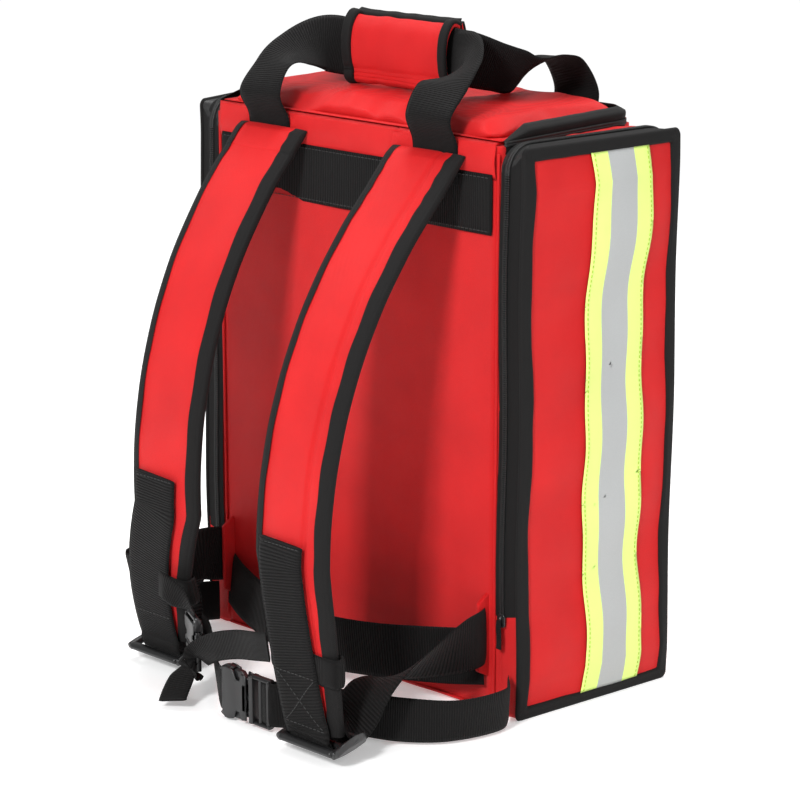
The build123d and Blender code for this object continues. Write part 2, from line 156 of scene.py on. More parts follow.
def mottle(tree, source, scale, detail=2.0):
    """Soft random variation at a scale."""
    cloud = tree.nodes.new("ShaderNodeTexNoise")
    cloud.inputs["Scale"].default_value = scale
    cloud.inputs["Detail"].default_value = detail
    tree.links.new(source, cloud.inputs["Vector"])
    return cloud.outputs["Fac"]


def ripple(tree, value, pitch):
    """A sine wave of a real pitch in metres along a coordinate."""
    return sums(tree, "SINE", sums(tree, "MULTIPLY", value, 2 * pi / pitch))


def tint(tree, shader, factor, dark, light):
    """Colours a shader between two tones by a factor."""
    ramp = tree.nodes.new("ShaderNodeMix")
    ramp.data_type = "RGBA"
    ramp.inputs["A"].default_value = (*dark, 1)
    ramp.inputs["B"].default_value = (*light, 1)
    tree.links.new(factor, ramp.inputs["Factor"])
    tree.links.new(ramp.outputs["Result"], shader.inputs["Base Color"])
    return ramp


def emboss(tree, shader, height, depth):
    """Raises a shader's surface by a height socket, to a depth in metres."""
    bump = tree.nodes.new("ShaderNodeBump")
    bump.inputs["Strength"].default_value = 0.6
    bump.inputs["Distance"].default_value = depth
    tree.links.new(height, bump.inputs["Height"])
    tree.links.new(bump.outputs["Normal"], shader.inputs["Normal"])


def oxford(name, dark, light, roughness, thread=0.0014):
    """Coated basket-weave cloth: a diagonal grid of threads, with slow changes of shade."""
    material, tree, shader = dye(name, light, roughness, 0.03)
    x, y, z, source = place_of(tree, "Object")
    warp = ripple(tree, sums(tree, "ADD", z, sums(tree, "ADD", x, y)), thread)
    weft = ripple(tree, sums(tree, "SUBTRACT", z, sums(tree, "ADD", x, y)), thread)
    weave = sums(tree, "MULTIPLY", warp, weft)
    grain = mottle(tree, source, 1100.0)
    shade = sums(tree, "MULTIPLY_ADD", weave, 0.3, mottle(tree, source, 16.0, 4.0))
    shade = sums(tree, "MULTIPLY_ADD", grain, 0.5, sums(tree, "SUBTRACT", shade, 0.2))
    tint(tree, shader, shade, dark, light)
    emboss(tree, shader, sums(tree, "MULTIPLY_ADD", grain, 0.5, weave), 0.00034)
    return material


red_cloth = oxford("red_oxford", (0.46, 0.004, 0.006), (0.72, 0.012, 0.013), 0.5)
lining_cloth = oxford("grey_lining", (0.04, 0.04, 0.045), (0.09, 0.09, 0.095), 0.8)


def publish(name, bm, materials, body, *stands_for, slot=None):
    """Turns a finished bmesh into a shown piece at the origin, with what it rides and replaces."""
    bmesh.ops.recalc_face_normals(bm, faces=bm.faces)
    data = bpy.data.meshes.new(name)
    bm.to_mesh(data)
    bm.free()
    for face in data.polygons:
        face.use_smooth = True
    piece = bpy.data.objects.new(name, data)
    bpy.context.collection.objects.link(piece)
    for material in materials if isinstance(materials, list) else [materials]:
        data.materials.append(material)
    if stands_for:
        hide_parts(*stands_for)
    if body:
        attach(piece, body)
    return piece


def slices(bm, low, high, step, direction):
    """Cuts a mesh into even slices, so that it can bend."""
    count = round((high - low) / step)
    for i in range(1, count):
        middle = direction * (low + (high - low) * i / count)
        everything = bm.verts[:] + bm.edges[:] + bm.faces[:]
        bmesh.ops.bisect_plane(bm, geom=everything, plane_co=middle, plane_no=direction)


wall_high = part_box("back_panel")[1]
half_width = wall_high.x
half_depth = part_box("front_panel")[1].y
rim = wall_high.z
rear = -half_depth

tub = bmesh.new()
bmesh.ops.create_cube(tub, size=1)
bmesh.ops.scale(tub, vec=(2 * half_width, 2 * half_depth, rim), verts=tub.verts)
bmesh.ops.translate(tub, vec=(0, 0, rim / 2), verts=tub.verts)
bmesh.ops.delete(tub, geom=[f for f in tub.faces if f.normal.z > 0.9], context="FACES_ONLY")
uprights = [e for e in tub.edges if abs(e.verts[0].co.z - e.verts[1].co.z) > 0.1]
bmesh.ops.bevel(tub, geom=uprights, offset=0.008, affect="EDGES", segments=4, profile=0.5, material=-1)
hem = [e for e in tub.edges if max(v.co.z for v in e.verts) < 0.001 and len(e.link_faces) == 2]
bmesh.ops.bevel(tub, geom=hem, offset=0.006, affect="EDGES", segments=3, profile=0.5, material=-1)
slices(tub, 0.0, rim, 0.009, Vector((0, 0, 1)))
slices(tub, -half_width, half_width, 0.009, Vector((1, 0, 0)))
slices(tub, -half_depth, half_depth, 0.009, Vector((0, 1, 0)))
for v in tub.verts:
    x, y, z = v.co
    inside_x = max(0, 1 - (x / half_width) ** 4)
    inside_y = max(0, 1 - (y / half_depth) ** 4)
    rise = max(0, sin(pi * min(1, z / rim))) ** 0.5
    ruck = noise.noise(Vector((x * 16, y * 16, z * 7))) * 0.0022 + noise.noise(v.co * 60) * 0.0005
    flute = 0.0016 * sin(x * 46 + 0.8 * sin(z * 9)) * rise
    pucker = noise.noise(Vector((x * 60, y * 60, z * 18))) * 0.003 * max(0, 1 - (rim - z) / 0.05)
    if abs(y) > half_depth - 0.009:
        v.co.y += (1 if y > 0 else -1) * (0.0015 * rise + ruck + flute + pucker) * inside_x
    if abs(x) > half_width - 0.009:
        v.co.x += (1 if x > 0 else -1) * (0.0010 * rise + ruck * 0.5) * inside_y
body = publish("body", tub, [red_cloth, lining_cloth], "pack", "back_panel", "front_panel",
               "right_side_wall", "left_side_wall", "base_panel", slot="red_fabric")
padding = body.modifiers.new("padding", "SOLIDIFY")
padding.thickness = 0.0075
padding.material_offset = 1

# Stiffener sheet, base board, divider and the lid's cloth hinge keep the shape they were cut to
board, board_tree, board_shader = dye("black_sheet", (0.03, 0.03, 0.032), 0.45)
board_grain = mottle(board_tree, place_of(board_tree, "Object")[3], 120.0)
tint(board_tree, board_shader, board_grain, (0.02, 0.02, 0.022), (0.05, 0.05, 0.05))
for name, finish in {"frame_sheet": board, "base_board": board, "inner_divider": lining_cloth,
                     "lid_hinge_fabric": red_cloth}.items():
    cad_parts[name].data.materials.clear()
    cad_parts[name].data.materials.append(finish)


# Each upright corner and each hem is a folded, sewn seam: a thin raised ridge of cloth
def smooth(stops, t):
    """A point at t from 0 to 1 along a smooth curve through the stops."""
    spans = len(stops) - 1
    k = min(int(max(t, 0) * spans), spans - 1)
    f = t * spans - k
    a, b = stops[max(k - 1, 0)], stops[k]
    c, d = stops[k + 1], stops[min(k + 2, spans)]
    return 0.5 * (2 * b + (c - a) * f + (2 * a - 5 * b + 4 * c - d) * f ** 2
                  + (3 * b - 3 * c + d - a) * f ** 3)


def skin(bm, point, columns, rows, size=(1, 1), material=0, closed=False):
    """Lays a grid over point(u, v), with a UV map in metres; closed joins its long sides."""
    uv = bm.loops.layers.uv.verify()
    sheet = bmesh.ops.create_grid(bm, x_segments=columns, y_segments=rows, size=0.5)
    new = sheet["verts"]
    spots = {v: (v.co.x + 0.5, v.co.y + 0.5) for v in new}
    for v, (a, b) in spots.items():
        v.co = point(a, b)
    for face in {f for v in new for f in v.link_faces}:
        face.material_index = material
        for loop in face.loops:
            loop[uv].uv = (spots[loop.vert][0] * size[0], spots[loop.vert][1] * size[1])
    if closed:
        bmesh.ops.remove_doubles(bm, verts=new, dist=1e-6)


def course(stops, acrosses):
    """place(t) along a smooth path: the middle, across and outward directions."""
    def place(t):
        gap = 0.004
        run = (smooth(stops, min(t + gap, 1)) - smooth(stops, max(t - gap, 0))).normalized()
        across = smooth(acrosses, t)
        across = (across - run * across.dot(run)).normalized()
        return smooth(stops, t), across, run.cross(across)
    return place


def sweep(bm, place, section, along, around=24, material=0, closed=True):
    """Draws a section along a path; section(s, t) gives offsets across and outwards."""
    length = sum((place((i + 1) / 20)[0] - place(i / 20)[0]).length for i in range(20))

    def point(t, s):
        middle, across, outward = place(t)
        a, b = section(s, t)
        return middle + across * a + outward * b
    reach = [section(i / around, 0.5) for i in range(around + 1)]
    girth = sum(hypot(q[0] - p[0], q[1] - p[1]) for p, q in zip(reach, reach[1:]))
    skin(bm, point, along, around, (length, girth), material, closed)


def oval(wide, thick):
    """Section of a round or flattened cord or bar."""
    return lambda s, t: (wide / 2 * cos(2 * pi * s), thick / 2 * sin(2 * pi * s))


def band(width, thickness=0.0018):
    """Section of flat webbing: two long faces with softly rounded edges."""
    def section(s, t):
        k = s * 2 if s < 0.5 else 2 - s * 2
        a = (k - 0.5) * width
        b = thickness / 2 * min(1, 6 * min(k, 1 - k)) ** 0.5
        return a, b if s < 0.5 else -b
    return section


def caps(bm):
    """Closes the open ends of swept tubes."""
    loose = [e for e in bm.edges if len(e.link_faces) == 1]
    bmesh.ops.holes_fill(bm, edges=loose, sides=0)


ridges = bmesh.new()
for x in (-half_width + 0.002, half_width - 0.002):
    for y in (rear, half_depth):
        line = [Vector((x, y, z)) for z in (0.012, 0.16, 0.32, rim - 0.006)]
        sweep(ridges, course(line, [Vector((1, 0, 0))] * 4), oval(0.0026, 0.0026), 50, 8)
for y in (rear, half_depth):
    line = [Vector((x, y, 0.004)) for x in (-half_width + 0.005, -0.05, 0.05, half_width - 0.005)]
    sweep(ridges, course(line, [Vector((0, 1, 0))] * 4), oval(0.0026, 0.0026), 40, 8)
caps(ridges)
publish("body_seams", ridges, red_cloth, "pack", slot="red_fabric")

# ---- Side pockets -----------------------------------------------------------------------------
# Each side pocket is a slanted box of red cloth: a gusset from the body to a zip that rounds the
# top corners, and a panel with bound edges, drawn in one piece across the line where it folds down when
# unzipped.
pocket_rear_depth = 0.024
pocket_front_depth = 0.050
pocket_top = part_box("right_pocket_gusset")[1].z
zip_depth = 0.016
corner = 0.022
binding = 0.011
face_slope = (pocket_front_depth - pocket_rear_depth) / (2 * half_depth)
face_middle = half_width + (pocket_front_depth + pocket_rear_depth) / 2


def twill(name, dark, light, pitch=0.0015):
    """Narrow woven tape: fine diagonal ribs that turn at the middle of its width."""
    material, tree, shader = dye(name, light, 0.82, 0.03)
    u, v = place_of(tree, "UV")[:2]
    slant = sums(tree, "ADD", u, sums(tree, "ABSOLUTE", sums(tree, "SUBTRACT", v, 0.006)))
    rib = ripple(tree, slant, pitch)
    fuzz = mottle(tree, place_of(tree, "Object")[3], 1500.0)
    shade = sums(tree, "MULTIPLY_ADD", rib, 0.3, fuzz)
    tint(tree, shader, shade, dark, light)
    emboss(tree, shader, shade, 0.0003)
    return material


black_binding = twill("black_twill", (0.003, 0.003, 0.003), (0.010, 0.009, 0.009))
zip_tape = twill("zip_tape", (0.003, 0.003, 0.003), (0.009, 0.008, 0.008), 0.0011)


def flecked(name, dark, light, roughness, scale):
    """A plain finish with fine flecks between two tones."""
    material, tree, shader = dye(name, light, roughness)
    tint(tree, shader, mottle(tree, place_of(tree, "Object")[3], scale), dark, light)
    return material


zip_teeth = flecked("nylon_coil", (0.012, 0.012, 0.012), (0.035, 0.035, 0.035), 0.32, 500.0)
thread_dark = flecked("dark_thread", (0.015, 0.015, 0.015), (0.07, 0.07, 0.07), 0.6, 900.0)

outline_shares = (0.30, 0.345, 0.445, 0.49, 0.79, 0.835, 0.955, 1.0)
zip_start = 0.055
zip_end = 0.735


def loop_point(t, inset, top_corner, low_corner):
    """A point round a pocket's outline, up the rear edge first; equal t meets equal t."""
    y = half_depth - inset
    low, high = inset, pocket_top - inset
    turns = [(-y + top_corner, high - top_corner, top_corner, pi),
             (y - top_corner, high - top_corner, top_corner, pi / 2),
             (y - low_corner, low + low_corner, low_corner, 0),
             (-y + low_corner, low + low_corner, low_corner, -pi / 2)]
    starts = [0.0, *outline_shares[:-1]]
    k = next(i for i, share in enumerate(outline_shares) if t <= share + 1e-9)
    f = (t - starts[k]) / (outline_shares[k] - starts[k])
    middle_y, middle_z, radius, first = turns[k // 2]
    if k % 2:
        angle = first - f * pi / 2
        return Vector((0, middle_y + radius * cos(angle), middle_z + radius * sin(angle)))
    before = turns[k // 2 - 1]
    leave = before[3] - pi / 2
    a = Vector((0, before[0] + before[2] * cos(leave), before[1] + before[2] * sin(leave)))
    b = Vector((0, middle_y + radius * cos(first), middle_z + radius * sin(first)))
    return a.lerp(b, f)


def sway(y, z):
    """How far the pocket's loose panel waves outwards."""
    inside = max(0, 1 - (y / half_depth) ** 4) * min(1, max(0, min(z, pocket_top - z)) / 0.035)
    wave = 0.0028 * sin(31 * z + 9 * y + 0.4) + 0.0012 * sin(79 * z - 22 * y + 2)
    return (0.0042 + wave + 0.0018 * noise.noise(Vector((y * 24, z * 15, 3)))) * inside


def on_face(side, depth, y, z):
    """A point at a depth under a pocket's slanted outer face."""
    edge = 0.0012 * sin(27 * z + 1.0) * min(1, max(0, min(z, pocket_top - z)) / 0.03)
    shift = edge if abs(y) > half_depth - 0.03 else edge * max(0, abs(y) - 0.03) / (half_depth - 0.06)
    return Vector((side * (face_middle + face_slope * y - depth), y + shift, z))


def zip_share(t):
    """Where along the outline the zip is at t: from above the fold at the rear, over the top."""
    return zip_start + t * (zip_end - zip_start)


def tooth(bm, middle, along, across, size):
    """One tooth of a zip's coil."""
    made = bmesh.ops.create_cube(bm, size=1)["verts"]
    up = along.cross(across)
    turn = Matrix((along * size[0], across * size[1], up * size[2])).transposed().to_4x4()
    bmesh.ops.transform(bm, matrix=Matrix.Translation(middle) @ turn, verts=made)


def coil(bm, path, count, size=(0.0009, 0.0022, 0.0018)):
    """Teeth along a path; path(t) gives a point and an across direction."""
    for i in range(count):
        here, across = path(i / (count - 1))
        along = (path(min(1, (i + 1) / (count - 1)))[0] - path(max(0,
                                                                   (i - 1) / (count
                                                                              - 1)))[0]).normalized()
        tooth(bm, here, along, across, size)


def stitches(bm, path, length, pitch=0.0042, size=(0.0028, 0.0006, 0.0005)):
    """A row of thread dashes; path(t) gives a point and an across direction."""
    count = max(2, round(length / pitch))
    for i in range(count):
        t = (i + 0.5) / count
        here, across = path(t)
        along = (path(min(1, t + 0.01))[0] - path(max(0, t - 0.01))[0]).normalized()
        tooth(bm, here, along, (across - along * across.dot(along)).normalized(), size)


high_vis, vis_tree, vis_shader = dye("reflective_tape", (0.72, 0.94, 0.24), 0.5)
vis_u, vis_v = place_of(vis_tree, "UV")[:2]
off_middle = sums(vis_tree, "ABSOLUTE", sums(vis_tree, "SUBTRACT", vis_u, 0.032))
silver = sums(vis_tree, "LESS_THAN", off_middle, 0.0142)
beads = mottle(vis_tree, place_of(vis_tree, "Object")[3], 2600.0)
lime = tint(vis_tree, vis_shader, silver, (0.72, 0.94, 0.24), (0.45, 0.46, 0.46))
grey = vis_tree.nodes.new("ShaderNodeMix")
grey.data_type = "RGBA"
grey.inputs["A"].default_value = (0.32, 0.33, 0.33, 1)
grey.inputs["B"].default_value = (0.46, 0.47, 0.47, 1)
vis_tree.links.new(beads, grey.inputs["Factor"])
vis_tree.links.new(grey.outputs["Result"], lime.inputs["B"])
knit = sums(vis_tree, "MULTIPLY", ripple(vis_tree, sums(vis_tree, "ADD", vis_u, vis_v), 0.0011),
            sums(vis_tree, "SUBTRACT", 1.0, silver))
emboss(vis_tree, vis_shader, sums(vis_tree, "MULTIPLY_ADD", beads, 0.4, knit), 0.0001)
lime_thread = flecked("lime_thread", (0.28, 0.45, 0.02), (0.45, 0.65, 0.05), 0.6, 900.0)

hi_vis_width = 0.064
hi_vis_middle = 0.014
loop_length = 4 * half_depth + 2 * pocket_top

for name, side in {"right": 1, "left": -1}.items():
    outward = Vector((side, 0, 0))

    # gusset: from the body out to the zip, with the zip's inner tape sewn along its edge
    def gusset_point(t, v):
        inner = loop_point(t, 0.0015, corner, 0.006)
        outer = on_face(side, zip_depth + 0.001, *loop_point(t, 0.0, corner, 0.006)[1:])
        start = Vector((side * (half_width - 0.006), inner.y, inner.z))
        ruck = 0.0016 * sin(pi * v) * noise.noise(Vector((t * 90, v * 3, side)))
        return start.lerp(outer, v) + (outer - Vector((outer.x, 0, pocket_top / 2))).normalized() * ruck
    gusset = bmesh.new()
    skin(gusset, gusset_point, 280, 8, (loop_length, 0.02), closed=True)
    publish(f"{name}_gusset", gusset, red_cloth, "pack", f"{name}_pocket_gusset", slot="red_fabric")

    def zip_line(depth, lift):
        """A path along the zip at a depth, lifted off the gusset."""
        def path(t):
            flat = loop_point(zip_share(t), -lift, corner + lift, 0.006)
            here = on_face(side, depth, flat.y, flat.z)
            return here, outward
        return path
    inner_tape = bmesh.new()

    def inner_point(t, v):
        return zip_line(zip_depth + 0.0075 * (1 - v), 0.0006 + 0.0006 * sin(pi * v))(t)[0]
    skin(inner_tape, inner_point, 240, 4, (loop_length, 0.012))
    coil(inner_tape, zip_line(zip_depth + 0.0011, 0.0015), 560)
    for face in inner_tape.faces:
        face.material_index = 1 if face.calc_area() < 4.2e-6 else 0
    publish(f"{name}_zip_inner", inner_tape, [zip_tape, zip_teeth], "pack", slot="zip")

    # the panel's side: from the zip's outer coil to the bound edge, square at the corners
    def skirt_point(t, v):
        share = zip_share(t)
        zip_spot = zip_line(zip_depth - 0.0012, 0.0006)(t)[0]
        edge_flat = loop_point(share, 0.001, 0.005, 0.004)
        return zip_spot.lerp(on_face(side, 0.0025, edge_flat.y, edge_flat.z), v)
    skirt = bmesh.new()
    skin(skirt, skirt_point, 240, 5, (loop_length, 0.014))
    coil(skirt, zip_line(zip_depth - 0.0014, 0.0015), 560)
    for face in skirt.faces:
        face.material_index = 1 if face.calc_area() < 4.2e-6 else 0
    folding = [publish(f"{name}_zip_outer", skirt, [zip_tape, zip_teeth], None, f"{name}_pocket_zip",
                       slot="zip")]

    # below the fold the panel's side is plain cloth, sewn down all round
    def foot_point(t, v):
        share = (0.73 + 0.33 * t) % 1.0
        inner_flat = loop_point(share, 0.0, corner, 0.006)
        edge_flat = loop_point(share, 0.001, 0.005, 0.004)
        start = on_face(side, zip_depth + 0.002, inner_flat.y, inner_flat.z)
        return start.lerp(on_face(side, 0.002, edge_flat.y, edge_flat.z), v)
    foot = bmesh.new()
    skin(foot, foot_point, 120, 4, (0.5, 0.014))
    publish(f"{name}_lower_side", foot, red_cloth, "pack", slot="red_fabric")

    # the panel, one cloth from the base to the top, drawn in one piece across its fold line
    def panel_point(u, v):
        y = (u * 2 - 1) * (half_depth - 0.002)
        z = 0.002 + v * (pocket_top - 0.004)
        return on_face(side, 0.0012, y, z) + outward * sway(y, z)
    panel = bmesh.new()
    skin(panel, panel_point, 54, 150, (2 * half_depth, pocket_top))
    bmesh.ops.solidify(panel, geom=panel.faces[:], thickness=0.0022)
    folding.append(publish(f"{name}_panel", panel, red_cloth, None, f"{name}_flap_panel",
                           f"{name}_lower_panel", slot="red_fabric"))

    # black twill folded over the panel's edge all round
    def bound_point(t, v):
        across, lift = band(1.0, 0.0042)(v, 0)
        wave = 0.0007 * noise.noise(Vector((t * 60, side, 0)))
        outer = loop_point(t, -0.0008, 0.006, 0.006)
        inner = loop_point(t, binding + wave, 0.002, 0.002)
        flat = inner.lerp(outer, across + 0.5)
        return on_face(side, 0.001, flat.y, flat.z) + outward * (lift + sway(flat.y, flat.z))
    edge = bmesh.new()
    skin(edge, bound_point, 320, 20, (loop_length, 0.024), closed=True)
    folding.append(publish(f"{name}_binding", edge, black_binding, None, f"{name}_flap_binding",
                           slot="black_binding"))

    # fluorescent tape with a silver stripe, sewn down along both edges
    def tape_middle(z):
        return hi_vis_middle + 0.0030 * sin(17 * z + 0.5)

    def tape_point(u, v):
        z = binding - 0.001 + v * (pocket_top - 2 * binding + 0.002)
        y = tape_middle(z) + (u - 0.5) * hi_vis_width
        return on_face(side, 0.0012, y, z) + outward * (sway(y, z) + 0.0017)
    strip = bmesh.new()
    skin(strip, tape_point, 20, 150, (hi_vis_width, pocket_top))
    bmesh.ops.solidify(strip, geom=strip.faces[:], thickness=0.0004)
    folding.append(publish(f"{name}_tape", strip, high_vis, None, f"{name}_reflective_tape",
                           f"{name}_lower_tape", slot="reflective_tape"))

    sewing = bmesh.new()
    for share in (0.045, 0.955):
        stitches(sewing, lambda t: (tape_point(share, t) + outward * 0.0004, Vector((0, 1, 0))),
                 pocket_top, size=(0.0022, 0.0006, 0.0005))
    folding.append(publish(f"{name}_tape_sewing", sewing, lime_thread, None, slot="reflective_tape"))
    for piece in folding:
        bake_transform(piece)

# ---- Lid -------------------------------------------------------------------------------------
# A padded panel of red cloth hinged along the wearer's edge and zipped round the other three.
# The cushion is inflated and let settle; its hinged edge is gathered where it was sewn.
lid_low, lid_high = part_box("top_lid")


def pad_shell(name, low, high, rounded, edge):
    """A closed cushion blank between two corners, with its corners and edges rounded."""
    bm = bmesh.new()
    bmesh.ops.create_cube(bm, size=1)
    bmesh.ops.scale(bm, vec=high - low, verts=bm.verts)
    bmesh.ops.translate(bm, vec=(low + high) / 2, verts=bm.verts)
    upright = [e for e in bm.edges if abs(e.verts[0].co.z - e.verts[1].co.z) > 0.005]
    bmesh.ops.bevel(bm, geom=upright, offset=rounded, affect="EDGES", segments=5, profile=0.5,
                    material=-1)
    flat = [e for e in bm.edges if abs(e.verts[0].co.z - e.verts[1].co.z) < 1e-6]
    bmesh.ops.bevel(bm, geom=flat, offset=edge, affect="EDGES", segments=3, profile=0.5, material=-1)
    return publish(name, bm, red_cloth, None)


def swell(piece, voxel, pressure, most):
    """Fills a cushion blank with air as cloth, and keeps each point within a distance of it."""
    shape = piece.modifiers.new("even", "REMESH")
    shape.mode = "VOXEL"
    shape.voxel_size = voxel
    graph = bpy.context.evaluated_depsgraph_get()
    even = bpy.data.meshes.new_from_object(piece.evaluated_get(graph))
    piece.modifiers.clear()
    piece.data = even
    start = [v.co.copy() for v in even.vertices]
    cloth = piece.modifiers.new("air", "CLOTH")
    cloth.settings.use_pressure = True
    cloth.settings.uniform_pressure_force = pressure
    cloth.settings.quality = 6
    cloth.settings.tension_stiffness = 20
    cloth.settings.effector_weights.gravity = 0
    cloth.point_cache.frame_start = 1
    cloth.point_cache.frame_end = 20
    for step in range(1, 21):
        bpy.context.scene.frame_set(step)
    graph = bpy.context.evaluated_depsgraph_get()
    blown = bpy.data.meshes.new_from_object(piece.evaluated_get(graph))
    piece.modifiers.clear()
    for v, before in zip(blown.vertices, start):
        move = v.co - before
        if move.length > most:
            v.co = before + move.normalized() * most
    for face in blown.polygons:
        face.use_smooth = True
    piece.data = blown
    bpy.context.scene.frame_set(1)


lid = pad_shell("lid", Vector((lid_low.x + 0.003, rear + 0.001, lid_low.z + 0.0004)),
                Vector((lid_high.x - 0.003, half_depth - 0.003, lid_high.z - 0.003)), 0.016, 0.004)
swell(lid, 0.005, 4.0, 0.008)
for v in lid.data.vertices:
    x, y, z = v.co
    upper = min(1, max(0, (z - lid_low.z) / 0.006))
    from_hinge = max(0, 1 - (y - rear) / 0.075)
    middle = max(0, 1 - (x / half_width) ** 2)
    gather = noise.noise(Vector((x * 34 + 4, y * 9, 0.3))) + 0.5 * noise.noise(Vector((x * 75, y * 22,
                                                                                       7)))
    crease = 1 - abs(noise.noise(Vector((x * 13 + y * 11, y * 8 - x * 3, 5)))) * 5
    v.co.z += upper * (0.0085 * gather * from_hinge * middle + 0.0022 * max(0, crease) * middle
                       - 0.004 * from_hinge ** 3 + 0.0035 * middle * (1 - from_hinge))
    v.co.z = max(v.co.z, lid_low.z + 0.0003 if y < rear + 0.006 else lid_low.z)
lid.data.materials.clear()
lid.data.materials.append(red_cloth)
lid_finish = lid.modifiers.new("finish", "SUBSURF")
lid_finish.levels = 1
lid_finish.render_levels = 1
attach(lid, "top_lid")
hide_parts("top_lid")


# The zip round three sides of the lid: tape on the lid, tape on the rim, and a coil between
def lid_loop(t, outset, radius=0.020):
    """A point round the lid's three zipped sides, from the right rear corner to the left."""
    x, y = half_width + outset, half_depth + outset
    turn = radius + outset
    legs = [2 * half_depth - radius - 0.004, turn * pi / 2, 2 * (x - turn), turn * pi / 2,
            2 * half_depth - radius - 0.004]
    run = t * sum(legs)
    start_y = rear + 0.004
    if run <= legs[0]:
        return Vector((x, start_y + run, 0)), Vector((1, 0, 0))
    run -= legs[0]
    for sign, first in ((1, 0), (-1, pi / 2)):
        if run <= legs[1]:
            angle = first + run / turn
            away = Vector((cos(angle), sin(angle), 0))
            return Vector((sign * (x - turn), y - turn, 0)) + away * turn, away
        run -= legs[1]
        if sign == 1:
            if run <= legs[2]:
                return Vector((x - turn - run, y, 0)), Vector((0, 1, 0))
            run -= legs[2]
    return Vector((-x, start_y + legs[4] - run, 0)), Vector((-1, 0, 0))


lid_zip_z = lid_low.z - 0.0005
zip_round = 4 * half_depth + 2 * half_width
upper_tape = bmesh.new()


def upper_point(t, v):
    spot, away = lid_loop(t, 0.0006)
    taper = min(1, 0.15 + 18 * min(t, 1 - t))
    rise = 0.0125 * v * taper
    roll = 0.0065 * max(0, v - 0.6) / 0.4 * taper
    wave = 0.0006 * noise.noise(Vector((t * 40, v, 2)))
    return spot - away * (roll - wave - 0.0016 * sin(pi * v)) + Vector((0, 0,
                                                                        lid_zip_z + 0.0008 + rise
                                                                        - roll * 0.1))


skin(upper_tape, upper_point, 240, 8, (zip_round, 0.014))
bmesh.ops.solidify(upper_tape, geom=upper_tape.faces[:], thickness=0.0009)
publish("lid_tape", upper_tape, black_binding, "top_lid", slot="zip")
under_lid = bmesh.new()


def under_point(u, v):
    return Vector(((2 * u - 1) * (half_width - 0.004), (2 * v - 1) * (half_depth - 0.004),
                   lid_zip_z + 0.0022))


skin(under_lid, under_point, 24, 16, (2 * half_width, 2 * half_depth))
bmesh.ops.solidify(under_lid, geom=under_lid.faces[:], thickness=0.0008)
publish("lid_lining", under_lid, red_cloth, "top_lid", slot="red_fabric")
rim_tape = bmesh.new()


def rim_point(t, v):
    spot, away = lid_loop(t, 0.0008)
    return spot + away * (0.0003 + 0.0010 * sin(pi * v)) + Vector((0, 0, lid_zip_z - 0.0008 - 0.0075 * v))


skin(rim_tape, rim_point, 240, 4, (zip_round, 0.008))
publish("rim_tape", rim_tape, black_binding, "pack", slot="zip")
for name, shift, rider in (("lid_coil_upper", 0.0011, "top_lid"), ("lid_coil_lower", -0.0011, "pack")):
    teeth = bmesh.new()

    def lid_teeth_path(t):
        return lid_loop(t, 0.0016)[0] + Vector((0, 0, lid_zip_z + shift)), Vector((0, 0, 1))
    coil(teeth, lid_teeth_path, 460, (0.0009, 0.0020, 0.0020))
    stands_for = ["lid_zip"] if rider == "pack" else []
    publish(name, teeth, zip_teeth, rider, *stands_for, slot="zip")


# The red strip between the two rear corners, sewn flat under the lid's gathered edge
def strip_point(u, v):
    x = (u * 2 - 1) * (half_width - 0.004)
    z = rim - 0.027 + v * 0.0295
    bulge = 0.0018 * sin(pi * v) + 0.0014 * noise.noise(Vector((x * 45, v * 2, 9))) * sin(pi * v)
    fold_line = 0.0012 * max(0, 1 - abs(x - 0.047 - 0.006 * v) / 0.004)
    return Vector((x, rear - 0.0009 - bulge + fold_line, z))


strip = bmesh.new()
skin(strip, strip_point, 120, 8, (2 * half_width, 0.024))
bmesh.ops.solidify(strip, geom=strip.faces[:], thickness=-0.0012)
publish("hinge_strip", strip, red_cloth, "pack", slot="red_fabric")

# ---- Webbing sewn to the back -------------------------------------------------------------------
# A 50 mm polypropylene band across the shoulders, a red wing at each lower corner, and a loose
# webbing strap that bows out between the wings.


def ribbed(name, dark, light, rib=0.0021, roughness=0.72):
    """Woven webbing: raised ribs across its length and a fine grain along them."""
    material, tree, shader = dye(name, light, roughness, 0.03)
    u, v = place_of(tree, "UV")[:2]
    shader.inputs["Specular IOR Level"].default_value = 0.12
    rows = ripple(tree, u, rib)
    knots = ripple(tree, sums(tree, "MULTIPLY_ADD", rows, 0.0002, v), 0.0012)
    fuzz = mottle(tree, place_of(tree, "Object")[3], 1400.0)
    height = sums(tree, "MULTIPLY_ADD", knots, 0.25, rows)
    shade = sums(tree, "MULTIPLY_ADD", height, 0.28, fuzz)
    tint(tree, shader, shade, dark, light)
    emboss(tree, shader, height, 0.0007)
    return material


black_webbing = ribbed("black_webbing", (0.002, 0.002, 0.002), (0.011, 0.010, 0.010))
fine_webbing = ribbed("fine_webbing", (0.002, 0.002, 0.002), (0.012, 0.011, 0.011), 0.0016)


def webbing(name, stops, acrosses, width, rider, *stands_for, material=None, steps=60, thickness=0.0018):
    """One length of flat webbing through the stops."""
    bm = bmesh.new()
    sweep(bm, course([Vector(p) for p in stops], [Vector(a) for a in acrosses]), band(width, thickness),
          steps)
    caps(bm)
    return publish(name, bm, material or black_webbing, rider, *stands_for, slot="black_webbing")


